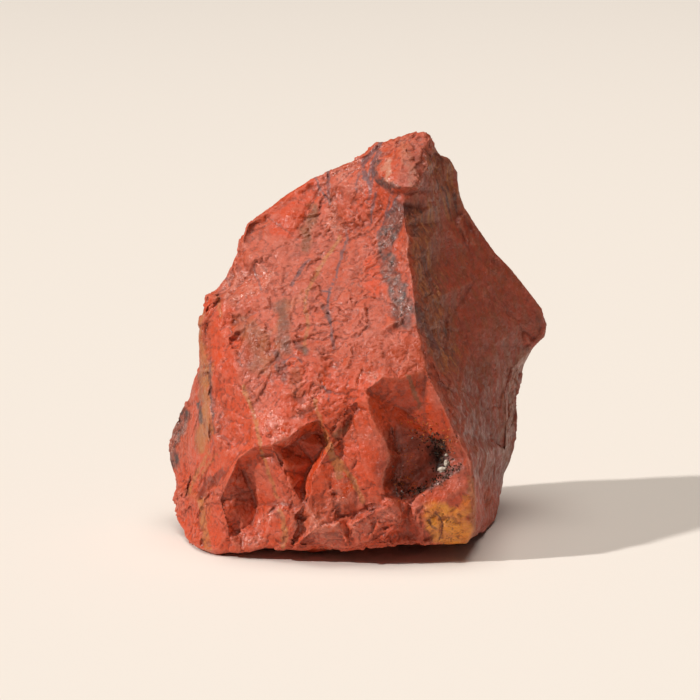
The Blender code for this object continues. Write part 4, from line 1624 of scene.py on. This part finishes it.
@dataclass
class Druse:
    """The crystals in the pit: small quartz points grown together, and a few white grains among them.

    Attributes:
        view: the photograph's camera.
        count: how many smoky crystals there are.
        radius: the largest radius of a crystal, in metres.
        length: how many radii long a crystal is.
        taper: how wide its tip is beside its foot.
        seed: the seed of the random draws.
        beds: where the smoky crystals grow, by the photograph's pixels.
        rusty_beds: where the rusty crystals grow, by the same pixels.
        rusty_count: how many rusty crystals there are.
        grains: for each white grain its pixel, and half its width and height in millimetres.
    """

    view: PhotoView
    count: int = 420
    radius: float = 0.26 * MM
    length: float = 2.6
    taper: float = 0.12
    seed: int = 7
    beds: tuple[Stroke, ...] = (
        Stroke(((436, 438), (440, 452), (445, 466)), 17, 1.0),
        Stroke(((459, 465), (440, 478), (420, 490), (398, 493)), 9, 0.7),
        Stroke(((414, 430), (424, 444)), 16, 0.25),
        Stroke(((392, 470), (400, 490)), 14, 0.25),
    )
    rusty_beds: tuple[Stroke, ...] = (
        Stroke(((408, 420), (424, 432), (436, 428)), 22, 0.3),
        Stroke(((446, 432), (452, 452)), 14, 0.3),
        Stroke(((404, 446), (412, 470), (404, 484)), 22, 0.2),
    )
    rusty_count: int = 190
    grains: tuple[tuple[float, float, float, float], ...] = (
        (442.5, 469.5, 0.8, 0.5),
        (446.5, 463.5, 0.4, 0.7),
        (446.5, 455.0, 0.3, 0.24),
    )

    def add_crystal(
        self, work: bmesh.types.BMesh, spot: Vector, normal: Vector, radius: float, skin: Skin
    ) -> None:
        """Grow one six-sided point.

        Args:
            work: the mesh that it joins.
            spot: where it stands.
            normal: the direction that it points in.
            radius: its radius in metres.
            skin: its material.
        """
        turn = normal.to_track_quat("Z", "Y").to_matrix().to_4x4()
        stand = Matrix.Translation(spot + normal * radius * 0.5) @ turn
        made = bmesh.ops.create_cone(
            work, cap_ends=True, cap_tris=True, segments=6, radius1=radius, radius2=radius * self.taper,
            depth=radius * self.length, matrix=stand,
        )
        for vert in made["verts"]:
            for face in vert.link_faces:
                face.material_index = skin

    def add_grain(self, work: bmesh.types.BMesh, spot: Vector, size: Vector) -> None:
        """Add one rough white grain.

        Args:
            work: the mesh that it joins.
            spot: its middle.
            size: its half sizes in metres.
        """
        made = bmesh.ops.create_icosphere(work, subdivisions=3, radius=1.0)
        for vert in made["verts"]:
            rough = 1.0 + 0.35 * noise.noise(vert.co * 1.8 + spot / MM)
            vert.co = spot + Vector(side * length * rough for side, length in zip(vert.co, size))
            for face in vert.link_faces:
                face.material_index = Skin.WHITE

    def sow(
        self, work: bmesh.types.BMesh, tree: BVHTree, beds: tuple[Stroke, ...], count: int, skin: Skin
    ) -> None:
        """Scatter crystals over beds.

        Args:
            work: the mesh that they join.
            tree: the stone's surface.
            beds: where they grow, by the photograph's pixels.
            count: how many there are.
            skin: their material.
        """
        chance = np.random.default_rng(self.seed + skin)
        weights = np.array([bed.strength * bed.width * math.dist(bed.path[0], bed.path[-1]) for bed in beds])
        for number in chance.choice(len(beds), count, p=weights / weights.sum()):
            bed = beds[number]
            corners = np.array(bed.path, dtype=float)
            leg = int(chance.integers(len(corners) - 1))
            spot = corners[leg] + (corners[leg + 1] - corners[leg]) * chance.random()
            spot = spot + chance.normal(0.0, bed.width * 0.3, 2)
            found = self.view.place(tree, float(spot[0]), float(spot[1]))
            if found:
                lean = Vector(chance.normal(0.0, 0.35, 3))
                radius = self.radius * float(chance.uniform(0.35, 1.0)) * (0.6 + 0.4 * bed.strength)
                self.add_crystal(work, found[0], (found[1] + lean).normalized(), radius, skin)

    def build(self, stone: bpy.types.Object, node: bpy.types.Object) -> bpy.types.Object:
        """Make the crust.

        Args:
            stone: the finished stone that it grows on.
            node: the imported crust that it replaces.

        Returns:
            The finished piece.
        """
        ground = bmesh.new()
        ground.from_mesh(stone.data)
        tree = BVHTree.FromBMesh(ground)
        ground.free()
        work = bmesh.new()
        self.sow(work, tree, self.beds, self.count, Skin.SMOKY)
        self.sow(work, tree, self.rusty_beds, self.rusty_count, Skin.RUSTY)
        for column, row, wide, high in self.grains:
            found = self.view.place(tree, column, row)
            if found:
                self.add_grain(work, found[0] - self.view.ahead * 0.2 * MM, Vector((wide, 0.4, high)) * MM)
        mesh = bpy.data.meshes.new("pit_druse")
        work.to_mesh(mesh)
        work.free()
        druse = add_object("pit_druse", mesh)
        mesh.materials.append(SmokyDruse().build("smoky_druse"))
        mesh.materials.append(PaleQuartz().build())
        mesh.materials.append(SmokyDruse("#A8481A", "#E08A48").build("rusty_druse"))
        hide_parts(node.name)
        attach(druse, "root")
        LOG.info("pit_druse: %d faces", len(mesh.polygons))
        return druse


@dataclass
class Studio:
    """The floor and the light: a low sun from the left and a wide softbox overhead.

    Attributes:
        sun_toward: the direction towards the sun.
        sun_strength: the sun's strength in watts a square metre.
        sun_width: how wide the sun is in the sky.
        sun_color: its colour.
        box_power: the softbox's power in watts.
        box_side: its width in metres.
        box_height: how high it hangs, in metres.
        box_color: its colour.
        sky_strength: the strength of the even light from all round.
        sky_color: its colour.
        floor_reach: how far the floor runs from the middle, in metres.
        floor_color: its colour.
    """

    sun_toward: tuple[float, float, float] = (-0.769, -0.25, 0.588)
    sun_strength: float = 2.6
    sun_width: float = math.radians(2.5)
    sun_color: str = "#FFFAF4"
    box_power: float = 34.0
    box_side: float = 1.6
    box_height: float = 2.2
    box_color: str = "#FFF6EC"
    sky_strength: float = 0.05
    sky_color: str = "#FFF6EE"
    floor_reach: float = 4.0
    floor_color: str = "#ECE7E1"

    def add_floor(self) -> None:
        """Make the floor, wide enough to fill the picture."""
        mesh = bpy.data.meshes.new("floor")
        work = bmesh.new()
        bmesh.ops.create_grid(work, x_segments=1, y_segments=1, size=self.floor_reach)
        work.to_mesh(mesh)
        work.free()
        # Uncoated paper: matt, with no gleam of its own.
        finish = Finish("pale_paper")
        finish.surface.inputs["Base Color"].default_value = linear(self.floor_color)
        finish.surface.inputs["Roughness"].default_value = 0.9
        mesh.materials.append(finish.material)
        floor = add_object("floor", mesh)

    def add_lights(self) -> None:
        """Make the sun, the softbox and the sky."""
        sun = bpy.data.lights.new("sun", "SUN")
        sun.energy = self.sun_strength
        sun.angle = self.sun_width
        sun.color = linear(self.sun_color)[:3]
        add_object("sun", sun).rotation_euler = Vector(self.sun_toward).to_track_quat("Z", "Y").to_euler()
        box = bpy.data.lights.new("softbox", "AREA")
        box.energy = self.box_power
        box.size = self.box_side
        box.color = linear(self.box_color)[:3]
        add_object("softbox", box).location = (0.0, 0.0, self.box_height)
        world = bpy.data.worlds.new("sky")
        world.use_nodes = True
        sky = world.node_tree.nodes["Background"]
        sky.inputs["Color"].default_value = linear(self.sky_color)
        sky.inputs["Strength"].default_value = self.sky_strength
        bpy.context.scene.world = world

    def build(self) -> None:
        """Make the floor and the light."""
        self.add_floor()
        self.add_lights()
        bpy.context.scene.view_settings.view_transform = "Standard"
        LOG.info("studio: floor, sun, softbox and sky")


def main() -> None:
    """Build the object and its studio in order."""
    noise.seed_set(NOISE_SEED)
    logging.basicConfig(level=logging.INFO, format="%(name)s: %(message)s")
    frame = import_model()
    view = PhotoView()
    view.add_camera()
    Studio().build()
    stone = JasperStone(view).build(frame["nodes"]["jasper_stone"])
    Druse(view).build(stone, frame["nodes"]["druse_crust"])


if __name__ == "__main__":
    main()
